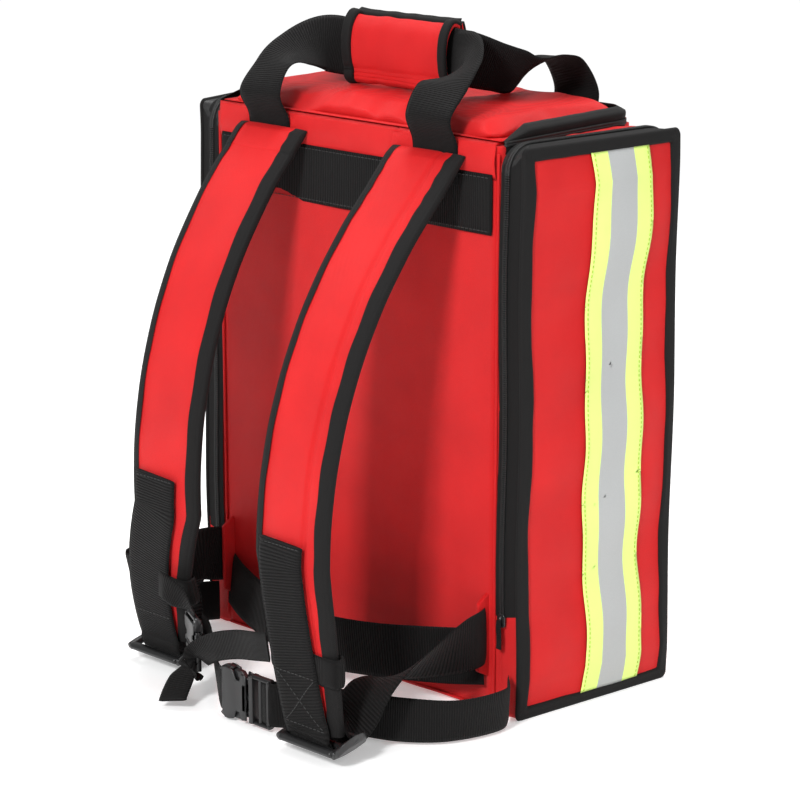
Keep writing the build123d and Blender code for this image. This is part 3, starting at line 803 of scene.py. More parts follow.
band_low, band_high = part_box("top_band")
band_z = (band_low.z + band_high.z) / 2
webbing("shoulder_band", [(x, rear - 0.0022 - 0.0008 * cos(x * 30), band_z) for x in (-0.158, -0.08, 0,
                                                                                      0.08, 0.158)],
        [(0, 0, 1)] * 5, 0.050, "pack", "top_band")
band_sewing = bmesh.new()
for z in (band_low.z + 0.003, band_high.z - 0.003):
    stitches(band_sewing, lambda t: (Vector((-0.155 + 0.31 * t, rear - 0.0035, z)), Vector((0, 0, 1))),
             0.31)
publish("band_sewing", band_sewing, thread_dark, "pack", slot="black_webbing")

bow_low, bow_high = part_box("lower_back_strap")
bow_z = (bow_low.z + bow_high.z) / 2
bow = [(-0.154, rear - 0.004, bow_z + 0.004), (-0.12, -0.105, bow_z), (-0.06, -0.125, bow_z - 0.004),
       (0, -0.131, bow_z - 0.006), (0.06, -0.125, bow_z - 0.002), (0.12, -0.106, bow_z + 0.003),
       (0.154, rear - 0.004, bow_z + 0.006)]
webbing("back_strap", bow, [(0, 0.12, 1), (0, 0.1, 1), (0, 0.05, 1), (0, 0, 1), (0, -0.05, 1),
                            (0, 0.05, 1), (0, 0.1, 1)],
        0.050, "pack", "lower_back_strap", steps=80)

for name, side in {"right": 1, "left": -1}.items():
    wing_low, wing_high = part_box(f"{name}_wing")
    outline = bmesh.new()
    corners = [(rear + 0.001, wing_low.z), (wing_low.y, wing_low.z + 0.008),
               (wing_low.y, wing_high.z - 0.008),
               (rear + 0.001, wing_high.z)]
    x = (wing_low.x + wing_high.x) / 2 - 0.0022
    face = outline.faces.new([outline.verts.new((x, y, z)) for y, z in corners])
    grown = bmesh.ops.extrude_face_region(outline, geom=[face])["geom"]
    bmesh.ops.translate(outline, vec=(0.0044, 0, 0),
                        verts=[g for g in grown if isinstance(g, bmesh.types.BMVert)])
    bmesh.ops.bevel(outline, geom=outline.edges[:], offset=0.0015, affect="EDGES", segments=3,
                    profile=0.5, material=-1)
    publish(f"{name}_wing_cloth", outline, red_cloth, "pack", f"{name}_wing", slot="red_fabric")

# ---- Carry handles and grip ---------------------------------------------------------------------
# Two 50 mm webbing handles, one sewn to the back and one to the front, pass together through a
# padded red sleeve that is wrapped round them and bound in black at its ends.
grip_low, grip_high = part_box("handle_grip")
grip_y = (grip_low.y + grip_high.y) / 2
grip_z = (grip_low.z + grip_high.z) / 2
half_grip = grip_high.x
leg_x = 0.097


def handle(name, half, halfway, stands_for):
    """One handle: the stations of its right half, mirrored to make the whole."""
    mirrored = [((-x, y, z), (-a, b, c)) for (x, y, z), (a, b, c) in half]
    whole = mirrored[::-1] + halfway + half
    bm = bmesh.new()
    stops = [Vector(p) for p, a in whole]
    acrosses = [Vector(a) for p, a in whole]
    for i in range(len(acrosses) // 2, 0, -1):
        if acrosses[i - 1].dot(acrosses[i]) < 0:
            acrosses[i - 1] = -acrosses[i - 1]
    for i in range(len(acrosses) // 2, len(acrosses) - 1):
        if acrosses[i + 1].dot(acrosses[i]) < 0:
            acrosses[i + 1] = -acrosses[i + 1]
    sweep(bm, course(stops, acrosses), band(0.050, 0.0019), 200)
    caps(bm)
    made = publish(name, bm, fine_webbing, None, *stands_for, slot="black_webbing")
    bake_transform(made)


rear_half = [((0.040, grip_y - 0.002, grip_z), (0, 0, 1)),
             ((0.063, grip_y - 0.003, grip_z - 0.001), (0, 0.1, 1)),
             ((0.083, grip_y - 0.014, grip_z + 0.001), (0.5, 0.1, 0.9)),
             ((0.095, grip_y - 0.036, grip_z - 0.004), (0.9, 0.3, 0.5)),
             ((0.0985, -0.082, 0.527), (1, 0.15, 0)), ((0.098, -0.0985, 0.505), (1, 0, 0)),
             ((leg_x, -0.0895, 0.484), (1, 0, 0)), ((leg_x, -0.0882, 0.468), (1, 0, 0)),
             ((leg_x, -0.0880, 0.450), (1, 0, 0))]
front_half = [((0.040, grip_y + 0.002, grip_z - 0.001), (0, 0, 1)),
              ((0.063, grip_y + 0.004, grip_z), (0, -0.2, 1)),
              ((0.084, grip_y + 0.024, grip_z - 0.008), (0.35, -0.3, 0.9)),
              ((0.096, 0.022, grip_z - 0.013), (0.7, 0, 0.7)),
              ((0.099, 0.048, grip_z - 0.004), (0.95, 0, 0.25)), ((0.098, 0.072, 0.534), (1, 0, 0)),
              ((0.098, 0.0905, 0.508), (1, 0, 0)), ((leg_x, 0.0880, 0.482), (1, 0, 0)),
              ((leg_x, 0.0877, 0.445), (1, 0, 0)),
              ((leg_x, 0.0877, 0.412), (1, 0, 0))]
handle("rear_handle_webbing", rear_half, [((0, grip_y - 0.002, grip_z), (0, 0, 1))],
       ["rear_handle", "handle_anchors"])
handle("front_handle_webbing", front_half, [((0, grip_y + 0.002, grip_z), (0, 0, 1))], ["front_handle"])
anchor_sewing = bmesh.new()
for x in (-leg_x, leg_x):
    for shift in (-0.021, 0.021):
        stitches(anchor_sewing, lambda t: (Vector((x + shift, half_depth + 0.0046, 0.415 + 0.05 * t)),
                                           Vector((1, 0, 0))), 0.05)
    for z in (0.416, 0.464):
        stitches(anchor_sewing, lambda t: (Vector((x - 0.021 + 0.042 * t, half_depth + 0.0046, z)),
                                           Vector((0, 0, 1))), 0.042)
publish("anchor_sewing", anchor_sewing, thread_dark, "pack", slot="black_webbing")

# Sleeve section, from its far bound edge over the top, down the near side and round underneath
sleeve = [(0.0050, 0.0265), (-0.0030, 0.0285), (-0.0100, 0.0190), (-0.0125, 0.0040), (-0.0110, -0.0110),
          (-0.0080, -0.0180), (-0.0095, -0.0245), (-0.0040, -0.0292), (0.0040, -0.0270),
          (0.0075, -0.0150),
          (0.0100, 0.0020), (0.0108, 0.0170), (0.0075, 0.0285)]
sleeve_stops = [Vector((0, y, z)) for y, z in sleeve]


def sleeve_point(x, s, lift=0.0):
    """A point on the sleeve; lift moves it out of the surface."""
    here = smooth(sleeve_stops, s)
    run = smooth(sleeve_stops, min(1, s + 0.01)) - smooth(sleeve_stops, max(0, s - 0.01))
    out = Vector((0, run.z, -run.y)).normalized() * -1
    end = (abs(x) / half_grip) ** 6
    puff = 0.0012 * noise.noise(Vector((x * 60, s * 5, 1))) * (1 - end) + 0.0010 * (1 - end)
    crease = 0.0016 * max(0, 1 - abs(s - 0.41) / 0.03)
    return Vector((x, grip_y, grip_z)) + here + out * (puff - crease + lift)


grip = bmesh.new()
skin(grip, lambda u, v: sleeve_point((u * 2 - 1) * half_grip, v), 60, 60, (0.12, 0.16))
bmesh.ops.solidify(grip, geom=grip.faces[:], thickness=0.0028)
grip_piece = publish("grip_sleeve", grip, red_cloth, "rear_handle", "handle_grip", slot="red_fabric")
grip_edges = bmesh.new()
for side in (-1, 1):
    def end_point(s, v):
        k, lift = band(0.010, 0.0052)(v, 0)
        return sleeve_point(side * (half_grip - 0.0045) + side * k, s, lift - 0.0012)
    skin(grip_edges, end_point, 80, 20, (0.17, 0.02), closed=True)


def far_point(u, v):
    k, lift = band(1.0, 0.0050)(v, 0)
    s = 0.018 + (0.5 - k) * 0.04
    rise = Vector((0, 0.0020, 0.0050)) * (0.5 + k)
    return sleeve_point((u * 2 - 1) * (half_grip - 0.002), max(0, s),
                        lift) + Vector((0, 0.0030, -0.0010)) + rise


skin(grip_edges, far_point, 60, 20, (0.12, 0.02), closed=True)
caps(grip_edges)
publish("grip_binding", grip_edges, black_binding, "rear_handle", slot="black_binding")
grip_sewing = bmesh.new()
stitches(grip_sewing, lambda t: (sleeve_point((t * 2 - 1) * (half_grip - 0.011), 0.425, 0.0006),
                                 Vector((0, 0, 1))), 0.098,
         0.0046, (0.0030, 0.0007, 0.0006))
publish("grip_sewing", grip_sewing, thread_dark, "rear_handle", slot="black_webbing")

# ---- Shoulder straps ----------------------------------------------------------------------------
# Curved foam pads in red cloth with black twill folded over both edges. Each starts in the seam
# below the carry handle, arches out over the shoulder and narrows to a tip at its ladder lock.
strap_middle = 0.090
strap_width = 0.080
strap_tip_width = 0.056
strap_foam = 0.013
strap_top = 0.468
tip_z = 0.024
straps = {
    "right": {"side": 1, "fall": 0.041, "bend": 0.395, "end": 0, "drift": 0.028, "web_top": 0.178,
              "keeper": 0.080},
    "left": {"side": -1, "fall": 0.018, "bend": 0.382, "end": 23, "drift": 0.040, "web_top": 0.192,
             "keeper": 0.092},
}


def strap_line(shape):
    """Side view of a strap: stops from the seam, over the knee, round the long bend to its tip."""
    start_y = rear - 0.009
    knee = (start_y - shape["fall"], strap_top - shape["fall"])
    reach = shape["bend"] * sqrt(0.5)
    middle = (knee[0] + reach, knee[1] - reach)
    stops = [(rear - 0.0035, 0.4745), (rear - 0.010, 0.4685), (start_y - 0.012, strap_top - 0.011)]
    stops += [(start_y - shape["fall"] * f, strap_top - shape["fall"] * f) for f in (0.6, 0.9)]
    turns = 7
    for i in range(turns):
        angle = radians(135 + (45 + shape["end"]) * (i + 0.5) / (turns - 0.5))
        stops.append((middle[0] + shape["bend"] * cos(angle), middle[1] + shape["bend"] * sin(angle)))
    if not shape["end"]:
        low_y, low_z = stops[-1]
        stops += [(low_y, low_z - (low_z - tip_z) * f) for f in (0.33, 0.66, 1.0)]
    return [Vector((0, y, z)) for y, z in stops]


def strap_form(shape):
    """place(t) down a strap's middle, and its width at a height."""
    line = strap_line(shape)

    def width(z):
        if z > 0.160:
            return strap_width
        if z > 0.075:
            return strap_width * (0.84 + 0.16 * (z - 0.075) / 0.085)
        return strap_tip_width + (strap_width * 0.84 - strap_tip_width) * max(0, (z - 0.006) / 0.069)

    def middle_x(z):
        slack = max(0, min(1, (0.160 - z) / 0.154))
        return strap_middle + shape["drift"] * (slack * 1.15 - 0.15 * slack ** 2)

    def place(t):
        here = smooth(line, t)
        run = (smooth(line, min(1, t + 0.01)) - smooth(line, max(0, t - 0.01))).normalized()
        wander = 0.0015 * sin(11 * here.z + shape["side"])
        spot = Vector((shape["side"] * middle_x(here.z) + wander, here.y, here.z))
        return spot, Vector((1, 0, 0)), Vector((0, run.z, -run.y))
    return place, width


def foam(shape, width, place):
    """Section of the pad: full in the middle, thin where its edges are bound."""
    def section(s, t):
        z = place(t)[0].z
        k = (s * 2 if s < 0.5 else 2 - s * 2)
        a = (k - 0.5) * (width(z) - 0.004)
        full = max(0, 1 - (2 * abs(k - 0.5)) ** 3.5) ** 0.6
        thin = min(1, 0.35 + 8 * t)
        b = (0.0022 + (strap_foam / 2 - 0.0022) * full) * thin
        if k in (0, 1):
            b = 0
        groove = 0.0016 * max(0, 1 - abs(a - shape["groove"]) / 0.003) if shape["groove"] else 0
        return a, (b - groove if s < 0.5 else -b)
    return section


for name, shape in straps.items():
    shape["groove"] = 0.0175 if name == "right" else 0
    place, width = strap_form(shape)
    pad = bmesh.new()
    sweep(pad, place, foam(shape, width, place), 170, 72)
    caps(pad)
    for v in pad.verts:
        v.co.y += 0.0009 * noise.noise(Vector((v.co.x * 30, v.co.z * 22, shape["side"])))
    piece = publish(f"{name}_strap_pad", pad, red_cloth, None, f"{name}_shoulder_strap",
                    slot="red_fabric")
    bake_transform(piece)

    edges = bmesh.new()
    for edge in (-1, 1):
        def fold_section(s, t):
            z = place(t)[0].z
            reach = binding + 0.0004 * sin(t * 90)
            k = s * 2 if s < 0.5 else 2 - s * 2
            half = width(z) / 2 + 0.0006
            a = half - reach * (1 - k)
            share = 2 * a / (width(z) - 0.004)
            full = max(0, 1 - min(1, abs(share)) ** 3.5) ** 0.6
            thin = min(1, 0.35 + 8 * t)
            b = (0.0034 + (strap_foam / 2 - 0.0026) * full) * thin * min(1, (1 - k) * 8) ** 0.5
            return edge * a, b if s < 0.5 else -b
        sweep(edges, place, fold_section, 170, 28, closed=False)
    loose = [v for v in edges.verts if any(len(e.link_faces) == 1 for e in v.link_edges)]
    bmesh.ops.remove_doubles(edges, verts=loose, dist=1e-5)
    piece = publish(f"{name}_strap_binding", edges, black_binding, None, slot="black_binding")
    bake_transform(piece)

    # the webbing sewn down the front of the pad, its box of stitches, and its turn round the lock
    first = next(i / 400 for i in range(401) if place(i / 400)[0].z < shape["web_top"])

    def front(t):
        """The middle of the webbing, on the outer face of the pad and on to the lock."""
        spot, across, outward = place(first + (1 - first) * t)
        aside = Vector((-0.005 - 0.003 * sin(pi * t) + 0.004 * t ** 4, 0, 0))
        return spot + aside + outward * (strap_foam / 2 + 0.0030), across, outward
    hinge_y = place(1)[0].y
    run_on = [front(1)[0] + Vector((0, -0.0002, -0.003)), Vector((0, hinge_y - 0.0088, 0.0205)),
              Vector((0, hinge_y - 0.0064, 0.0160)), Vector((0, hinge_y - 0.0036, 0.0105)),
              Vector((0, hinge_y + 0.0020, 0.0085))]
    for stop in run_on[1:]:
        stop.x = place(1)[0].x - 0.001
    stops = [front(i / 16)[0] for i in range(17)] + run_on
    bm = bmesh.new()
    sweep(bm, course(stops, [Vector((1, 0, 0))] * len(stops)), band(0.050, 0.0022), 170)
    caps(bm)
    publish(f"{name}_front_webbing", bm, black_webbing, "harness", f"{name}_strap_webbing",
            slot="black_webbing")
    sewing = bmesh.new()
    for t in (0.018, 0.70, 0.96) if name == "right" else (0.018, 0.80):
        spot, across, outward = front(t)
        start = spot + outward * 0.0012 - Vector((0.022, 0, 0))
        stitches(sewing, lambda s: (start + Vector((0.044 * s, 0, 0)), across.cross(outward)), 0.044)
    if name == "right":
        for start_x, end_x in ((-0.021, 0.021), (0.021, -0.021)):
            def cross(s):
                spot, across, outward = front(0.71 + 0.24 * s)
                return spot + outward * 0.0012 + Vector((start_x + (end_x - start_x) * s, 0,
                                                         0)), Vector((1, 0, 0))
            stitches(sewing, cross, 0.060)
    publish(f"{name}_webbing_sewing", sewing, thread_dark, "harness", slot="black_webbing")

    # keeper: a short loop of webbing round the pad, which stops the sternum strap sliding
    keeper_t = min((i / 400 for i in range(401)), key=lambda t: abs(place(t)[0].z - shape["keeper"]))
    spot, across, outward = place(keeper_t)
    wide, deep = width(spot.z) / 2 + 0.0035, strap_foam / 2 + 0.0014
    tilt = -0.16 * shape["side"] if name == "left" else 0.05

    def round_pad(t):
        angle = 2 * pi * t
        c, s = cos(angle), sin(angle)
        a = wide * (1 if c > 0 else -1) * abs(c) ** 0.45
        b = deep * (1 if s > 0 else -1) * abs(s) ** 0.45
        along = across.cross(outward)
        slip = along * (a * tilt)
        out = (across * (c * deep) + outward * (s * wide)).normalized()
        return spot + across * a + outward * b + slip, along, out
    loop = bmesh.new()
    sweep(loop, round_pad, band(0.025, 0.0020), 160, 20)
    bmesh.ops.remove_doubles(loop, verts=loop.verts, dist=1e-5)
    publish(f"{name}_keeper", loop, fine_webbing, "harness", f"{name}_keeper_loop", slot="black_webbing")

# ---- Lower webbing, sternum strap and waist belt --------------------------------------------------
# Loose webbing: 50 mm from each wing to its ladder lock, a 25 mm sternum strap and a 40 mm belt.
lock_spots = {}
for name, shape in straps.items():
    tip_y = strap_form(shape)[0](1)[0].y
    lock_spots[name] = Vector((shape["side"] * (strap_middle + shape["drift"]), tip_y, 0.015))
wing_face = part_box("right_wing")[1].x + 0.0018
lower = {
    "right": [((wing_face - 0.003, rear - 0.003, 0.071), (0, 0, 1)),
              ((wing_face, -0.098, 0.070), (0, 0, 1)),
              ((0.159, -0.115, 0.069), (0.1, 0, 1)), ((0.155, -0.150, 0.066), (0.5, 0, 0.85)),
              ((0.148, -0.185, 0.060), (0.85, 0, 0.5)), ((0.138, -0.209, 0.048), (1, 0, 0.1)),
              ((0.127, -0.223, 0.024), (1, 0, 0)), ((0.120, -0.2325, 0.0215), (1, 0, 0)),
              ((0.119, -0.2400, 0.0130), (1, 0, 0)), ((0.118, -0.2500, 0.0095), (1, 0, 0))],
    "left": [((-wing_face + 0.003, rear - 0.003, 0.071), (0, 0, 1)),
             ((-wing_face - 0.001, -0.100, 0.073), (0, 0, 1)),
             ((-0.163, -0.116, 0.076), (0, 0, 1)), ((-0.167, -0.140, 0.071), (-0.3, 0, 1)),
             ((-0.160, -0.152, 0.060), (-0.7, 0, 0.7)), ((-0.148, -0.157, 0.042), (-1, 0, 0.2)),
             ((-0.138, -0.163, 0.0225), (-1, 0, 0)), ((-0.132, -0.173, 0.0215), (-1, 0, 0)),
             ((-0.130, -0.181, 0.0130), (-1, 0, 0)), ((-0.130, -0.191, 0.0095), (-1, 0, 0))],
}
for name, route in lower.items():
    made = webbing(f"{name}_lower_strap", [p for p, a in route], [a for p, a in route], 0.050, None,
                   f"{name}_lower_webbing", steps=120)
    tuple(route[1][0])
    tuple(route[-2][0])
    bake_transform(made)

sternum = [(0.070, -0.2595, 0.084), (0.052, -0.2575, 0.080), (0.020, -0.2490, 0.071),
           (-0.010, -0.2460, 0.060),
           (-0.034, -0.2440, 0.045), (-0.046, -0.2400, 0.030), (-0.052, -0.2335, 0.0255)]
made = webbing("sternum_webbing", sternum, [(0, 0, 1), (0, 0, 1), (0.2, 0, 1), (0.35, 0, 0.9),
                                            (0.7, -0.2, 0.7), (0.9, -0.4, 0.3),
               (0.88, -0.48, 0)], 0.025, None, "sternum_strap", material=fine_webbing, steps=80)
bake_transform(made)
tail = [(-0.050, -0.2330, 0.0330), (-0.0505, -0.2400, 0.0290), (-0.0490, -0.2480, 0.0225),
        (-0.0465, -0.2560, 0.0160),
        (-0.0440, -0.2620, 0.0110), (-0.0420, -0.2650, 0.0090)]
webbing("sternum_tail", tail, [(0.88, -0.3, 0.3), (0.85, -0.1, 0.2), (0.85, 0.3, 0.1), (0.85, 0.3, 0.0),
                               (0.85, 0.3, 0.0),
        (0.85, 0.3, 0.0)], 0.025, "sternum_plug", material=fine_webbing, thickness=0.0020)

socket_low, socket_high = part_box("waist_buckle_socket")
plug_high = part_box("waist_buckle_plug")[1]
belt_z = (socket_low.z + socket_high.z) / 2 - 0.003
right_belt = [(half_width + 0.016, rear - 0.002, belt_z), (half_width + 0.033, rear - 0.028, belt_z),
              (0.186, -0.158, belt_z),
              (0.152, -0.187, belt_z), (0.112, -0.203, belt_z), (0.084, -0.220, belt_z + 0.001),
              (plug_high.x + 0.004, -0.2425, belt_z + 0.003),
              (plug_high.x - 0.008, -0.2445, belt_z + 0.003)]
made = webbing("right_belt", right_belt, [(0, 0, 1), (0.1, 0, 1), (0.15, 0, 1), (0, 0.1, 1), (0, 0.1, 1),
                                          (0, 0, 1), (0, 0, 1), (0, 0, 1)],
               0.038, None, "right_waist_belt", material=fine_webbing, steps=120)
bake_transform(made)
belt_tail = [(plug_high.x - 0.008, -0.2405, belt_z + 0.003), (0.072, -0.2240, belt_z + 0.001),
             (0.092, -0.2100, belt_z - 0.001),
             (0.112, -0.1970, belt_z), (0.134, -0.1870, belt_z + 0.001)]
left_belt = [(-half_width - 0.008, rear - 0.002, belt_z), (-half_width - 0.019, rear - 0.027, belt_z),
             (-0.160, -0.140, belt_z),
             (-0.100, -0.166, belt_z), (-0.052, -0.206, belt_z),
             (socket_low.x - 0.004, -0.2410, belt_z + 0.003),
             (socket_low.x + 0.006, -0.2425, belt_z + 0.003)]
webbing("belt_tail", belt_tail, [(0, 0, 1)] * 5, 0.038, "waist_plug", material=fine_webbing)
webbing("left_belt", left_belt, [(0, 0, 1), (0, 0.05, 1), (0.1, 0, 1), (0, -0.1, 1), (0, -0.15, 1),
                                 (0, 0, 1), (0, 0, 1)], 0.038,
        "pack", "left_waist_belt", material=fine_webbing, steps=120)

# ---- Ladder locks ---------------------------------------------------------------------------------
# Black moulded acetal, one at each strap's tip: three crossbars between two rails, grip ribs on the
# leading edge, and a curved tab at one end that is lifted to slacken the webbing.


def plastic(name, dark, light, roughness):
    """Moulded acetal: even black with a fine spark-eroded grain."""
    material, tree, shader = dye(name, light, roughness)
    shader.inputs["Specular IOR Level"].default_value = 0.5
    source = place_of(tree, "Object")[3]
    tint(tree, shader, mottle(tree, source, 60.0, 3.0), dark, light)
    emboss(tree, shader, mottle(tree, source, 2200.0, 1.0), 0.00004)
    return material


black_plastic = plastic("black_acetal", (0.006, 0.006, 0.006), (0.014, 0.014, 0.015), 0.36)
lock_slope = radians(8)


def solid_outline(bm, points, thickness, edge):
    """A moulded plate: an outline in X and Y raised to a thickness, with its edges rounded."""
    before = set(bm.faces)
    face = bm.faces.new([bm.verts.new((x, y, -thickness / 2)) for x, y in points])
    grown = bmesh.ops.extrude_face_region(bm, geom=[face])["geom"]
    bmesh.ops.translate(bm, vec=(0, 0, thickness),
                        verts=[g for g in grown if isinstance(g, bmesh.types.BMVert)])
    new = [f for f in bm.faces if f not in before]
    rims = {e for f in new for e in f.edges if abs(e.verts[0].co.z - e.verts[1].co.z) < 1e-7}
    bmesh.ops.bevel(bm, geom=list(rims), offset=edge, affect="EDGES", segments=3, profile=0.5,
                    material=-1)
    return {v for f in bm.faces if f not in before for v in f.verts}


def rounded_box(width, depth, radius, middle=(0, 0), steps=6):
    """Outline of a rectangle with round corners."""
    points = []
    for sx, sy, first in ((1, 1, 0), (-1, 1, pi / 2), (-1, -1, pi), (1, -1, 3 * pi / 2)):
        cx, cy = middle[0] + sx * (width / 2 - radius), middle[1] + sy * (depth / 2 - radius)
        points += [(cx + radius * cos(first + i * pi / 2 / steps),
                    cy + radius * sin(first + i * pi / 2 / steps))
                   for i in range(steps + 1)]
    return points


for name, shape in straps.items():
    spot = lock_spots[name]
    lock = bmesh.new()
    bars = [(-0.0185, 0.0060, 0.0050), (0.0, 0.0062, 0.0050), (0.0125, 0.0095, 0.0066)]
    for y, wide, thick in bars:
        line = [Vector((x, y, 0.0)) for x in (-0.030, -0.01, 0.01, 0.030)]
        sweep(lock, course(line, [Vector((0, 1, 0))] * 4), oval(wide, thick), 20, 14)
    for x in (-0.0305, 0.0305):
        rail = [Vector((x, -0.0215, -0.0004)), Vector((x, -0.011, 0.0009)), Vector((x, 0.003, 0.0006)),
                Vector((x, 0.0150, -0.0006))]
        sweep(lock, course(rail, [Vector((1, 0, 0))] * 4), oval(0.0078, 0.0074), 20, 14)
    for i in range(19):
        x = -0.0252 + 0.0504 * i / 18
        made = bmesh.ops.create_cube(lock, size=1)["verts"]
        bmesh.ops.scale(lock, vec=(0.0013, 0.0088, 0.0074), verts=made)
        bmesh.ops.translate(lock, vec=(x, 0.0128, 0.0004), verts=made)
    caps(lock)
    # the lifting tab: a rounded tongue that curves up from the leading bar's right-hand end
    tongue = bmesh.new()

    def tongue_point(u, v):
        a = (u * 2 - 1)
        half = 0.0195 * sqrt(max(0.0, 1 - max(0, v - 0.35) ** 2 / 0.4225))
        x = 0.0300 + 0.0130 * v
        y = -0.0020 + a * half * (0.8 + 0.2 * v)
        z = 0.0018 + 0.0120 * v ** 1.7 + 0.0012 * a * a
        return Vector((x, y, z))
    skin(tongue, tongue_point, 20, 20, (0.03, 0.03))
    bmesh.ops.solidify(tongue, geom=tongue.faces[:], thickness=0.0070)
    bmesh.ops.remove_doubles(tongue, verts=tongue.verts, dist=2e-5)
    scrap = bpy.data.meshes.new("tongue")
    tongue.to_mesh(scrap)
    tongue.free()
    lock.from_mesh(scrap)
    bpy.data.meshes.remove(scrap)
    # hinge at the origin and the plate's length along +Y so far: lay it down and set it in place
    lay = Matrix.Translation(spot) @ Matrix.Rotation(lock_slope, 4, "X")
    lay = lay @ Matrix.Rotation(pi, 4, "Z") @ Matrix.Scale(-1, 4, (1, 0, 0))
    bmesh.ops.transform(lock, matrix=lay, verts=lock.verts)
    piece = publish(f"{name}_lock", lock, black_plastic, f"{name}_lock", f"{name}_ladder_lock",
                    slot="black_plastic")
    finish = piece.modifiers.new("finish", "SUBSURF")
    finish.levels = 1
    finish.render_levels = 1

# ---- Side-release buckles -----------------------------------------------------------------------------
# Black moulded acetal. The socket is a hollow shell with finger notches in both edges; the plug has
# a slotted bar for its webbing, a middle guide and two springy prongs that snap into the notches.


def mirrored(points):
    """An outline closed by its mirror image across X."""
    return points + [(x, -y) for x, y in reversed(points)]


def buckle(name, origin, along, outward, width, thick, length, plug_body, socket_body, prong_bodies):
    """Socket, plug and prongs; along points from socket to plug, outward to the front."""
    across = outward.cross(along)
    lay = Matrix.Translation(origin) @ Matrix((along, across, outward)).transposed().to_4x4()
    w = width / 2
    socket = bmesh.new()
    shell = mirrored([(-0.0015, w * 0.86), (-length * 0.20, w * 0.90), (-length * 0.26, w * 0.62),
                      (-length * 0.40, w * 0.60),
                      (-length * 0.50, w * 0.94), (-length * 0.66, w), (-length * 0.80, w),
                      (-length * 0.86, w * 0.86),
                      (-length * 0.86, w * 0.3)])
    for lift in (-1, 1):
        made = solid_outline(socket, shell, thick * 0.2, 0.0008)
        bmesh.ops.translate(socket, vec=(0, 0, lift * thick * 0.38), verts=list(made))
    end_bar = [Vector((-length * 0.93, y, 0)) for y in (-w * 0.86, -w * 0.3, w * 0.3, w * 0.86)]
    sweep(socket, course(end_bar, [Vector((1, 0, 0))] * 4), oval(0.0052, thick * 0.55), 16, 12)
    for side in (-1, 1):
        cheek = [Vector((-length * x, side * w * y, 0)) for x,
                 y in ((0.60, 0.92), (0.74, 0.94), (0.86, 0.92), (0.945, 0.84))]
        sweep(socket, course(cheek, [Vector((0, 1, 0))] * 4), oval(w * 0.16, thick * 0.86), 12, 12)
    caps(socket)
    for i in (0, 1):
        made = solid_outline(socket, rounded_box(length * 0.10, width * 0.50, 0.0006,
                                                 (-length * 0.10, 0)), 0.0008, 0.0003)
        bmesh.ops.translate(socket, vec=(0, 0, thick * 0.48), verts=list(made))
    bmesh.ops.transform(socket, matrix=lay, verts=socket.verts)
    publish(f"{name}_socket", socket, black_plastic, socket_body, f"{name}_buckle_socket",
            slot="black_plastic")

    bar = length * 0.62
    plug = bmesh.new()
    flange = mirrored([(0.0012, w * 0.92), (0.0050, w * 0.92), (0.0060, w * 0.84), (0.0060, w * 0.2)])
    solid_outline(plug, flange, thick * 0.82, 0.0008)
    for x, wide in ((bar * 0.58, 0.0042), (bar + 0.0004, 0.0042)):
        line = [Vector((x, y, 0)) for y in (-w * 0.86, -w * 0.3, w * 0.3, w * 0.86)]
        sweep(plug, course(line, [Vector((1, 0, 0))] * 4), oval(wide, thick * 0.5), 16, 12)
    for side in (-1, 1):
        rail = [Vector((x, side * w * 0.88, 0)) for x in (0.004, bar * 0.4, bar * 0.8, bar + 0.0024)]
        sweep(plug, course(rail, [Vector((0, 1, 0))] * 4), oval(w * 0.16, thick * 0.66), 16, 12)
    guide = [Vector((x, 0, 0)) for x in (0.003, -length * 0.15, -length * 0.4, -length * 0.62)]
    sweep(plug, course(guide, [Vector((0, 1, 0))] * 4), oval(width * 0.14, thick * 0.5), 16, 12)
    caps(plug)
    bmesh.ops.transform(plug, matrix=lay, verts=plug.verts)
    publish(f"{name}_plug", plug, black_plastic, plug_body, f"{name}_buckle_plug", slot="black_plastic")

    for letter, side, prong_body in (("a", 1, prong_bodies[0]), ("b", -1, prong_bodies[1])):
        prong = bmesh.new()
        arm = [(0.0014, side * w * 0.52), (0.0014, side * w * 0.74), (-length * 0.16, side * w * 0.78),
               (-length * 0.26, side * w * 0.93), (-length * 0.50, side * w * 0.95),
               (-length * 0.64, side * w * 0.72),
               (-length * 0.66, side * w * 0.56), (-length * 0.30, side * w * 0.56)]
        solid_outline(prong, arm, thick * 0.46, 0.0009)
        bmesh.ops.transform(prong, matrix=lay, verts=prong.verts)
        publish(f"{name}_release_{letter}", prong, black_plastic, prong_body, f"{name}_prong_{letter}",
                slot="black_plastic")


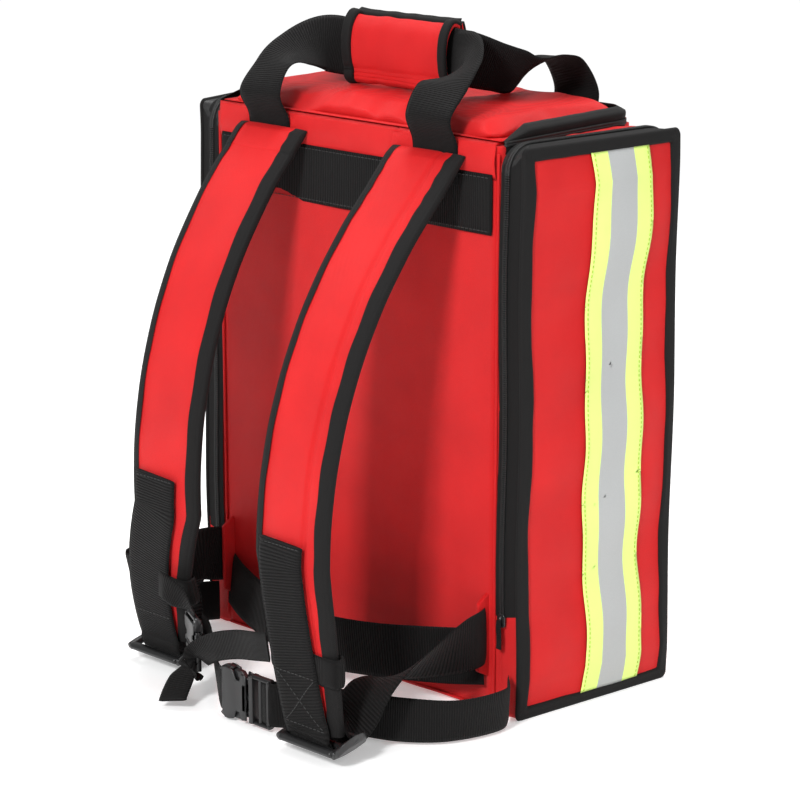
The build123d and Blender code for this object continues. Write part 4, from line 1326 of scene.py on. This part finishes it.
waist_origin = Vector((socket_high.x + 0.002, (socket_low.y + socket_high.y) / 2,
                       (socket_low.z + socket_high.z) / 2))
buckle("waist", waist_origin, Vector((1, 0, 0)), Vector((0, -1, 0)), 0.046, 0.012, 0.034, "waist_plug",
       "pack",
       ("waist_prong_a", "waist_prong_b"))
chest_low, chest_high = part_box("sternum_buckle_socket")
chest_origin = Vector(((chest_low.x + chest_high.x) / 2, (chest_low.y + chest_high.y) / 2,
                       chest_low.z - 0.002))
buckle("sternum", chest_origin, Vector((0, 0, -1)), Vector((-0.48, -0.877, 0)), 0.031, 0.009, 0.028,
       "sternum_plug",
       "harness", ("sternum_prong_a", "sternum_prong_b"))
tab = [(-0.088, -0.236, 0.096), (-0.078, -0.2385, 0.095), (-0.066, -0.236, 0.089),
       (-0.056, -0.231, 0.080),
       (-0.052, -0.2300, 0.0735)]
webbing("sternum_tab", tab, [(0, 0, 1), (0.2, 0, 1), (0.5, 0, 0.8), (0.8, -0.4, 0.3), (0.88, -0.48, 0)],
        0.024, "harness",
        material=fine_webbing, steps=40)

# ---- Zip sliders and pullers -----------------------------------------------------------------------------
# Black enamelled zinc sliders, each with a bridge that carries a short pull of folded tape.
enamel = plastic("black_enamel", (0.008, 0.008, 0.008), (0.020, 0.020, 0.021), 0.25)
for name, body_name in (("right_pocket", "right_pocket"), ("left_pocket", "left_pocket"), ("lid", "lid")):
    low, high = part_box(f"{name}_zip_slider")
    middle, size = (low + high) / 2, high - low
    face = -1 if middle.y < 0 else 1
    slider = bmesh.new()
    solid_outline(slider, rounded_box(size.x * 0.96, size.z * 0.96, 0.003), size.y * 0.62, 0.0006)
    bridge = [Vector((0, -size.z * 0.36, 0.0006)), Vector((0, -size.z * 0.30, 0.0022)),
              Vector((0, size.z * 0.1, 0.0028)),
              Vector((0, size.z * 0.34, 0.0012))]
    sweep(slider, course(bridge, [Vector((1, 0, 0))] * 4), oval(0.0026, 0.0012), 16, 10)
    caps(slider)
    lay = Matrix.Translation(middle) @ Matrix(((1, 0, 0), (0, 0, face), (0, 1, 0))).to_4x4()
    bmesh.ops.transform(slider, matrix=lay, verts=slider.verts)
    publish(f"{name}_slider", slider, enamel, f"{body_name}_slider", f"{name}_zip_slider",
            slot="zip_metal")
    low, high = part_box(f"{name}_zip_puller")
    middle, size = (low + high) / 2, high - low
    pull = [Vector((middle.x, middle.y, high.z - 0.0008)),
            Vector((middle.x, middle.y + face * 0.0002, middle.z + 0.004)),
            Vector((middle.x + 0.0004, middle.y, middle.z - 0.006)), Vector((middle.x, middle.y, low.z))]
    cord_pull = bmesh.new()
    sweep(cord_pull, course(pull, [Vector((1, 0, 0))] * 4), band(0.0056, 0.0016), 24)
    caps(cord_pull)
    publish(f"{name}_pull", cord_pull, fine_webbing, f"{body_name}_puller", f"{name}_zip_puller",
            slot="black_webbing")
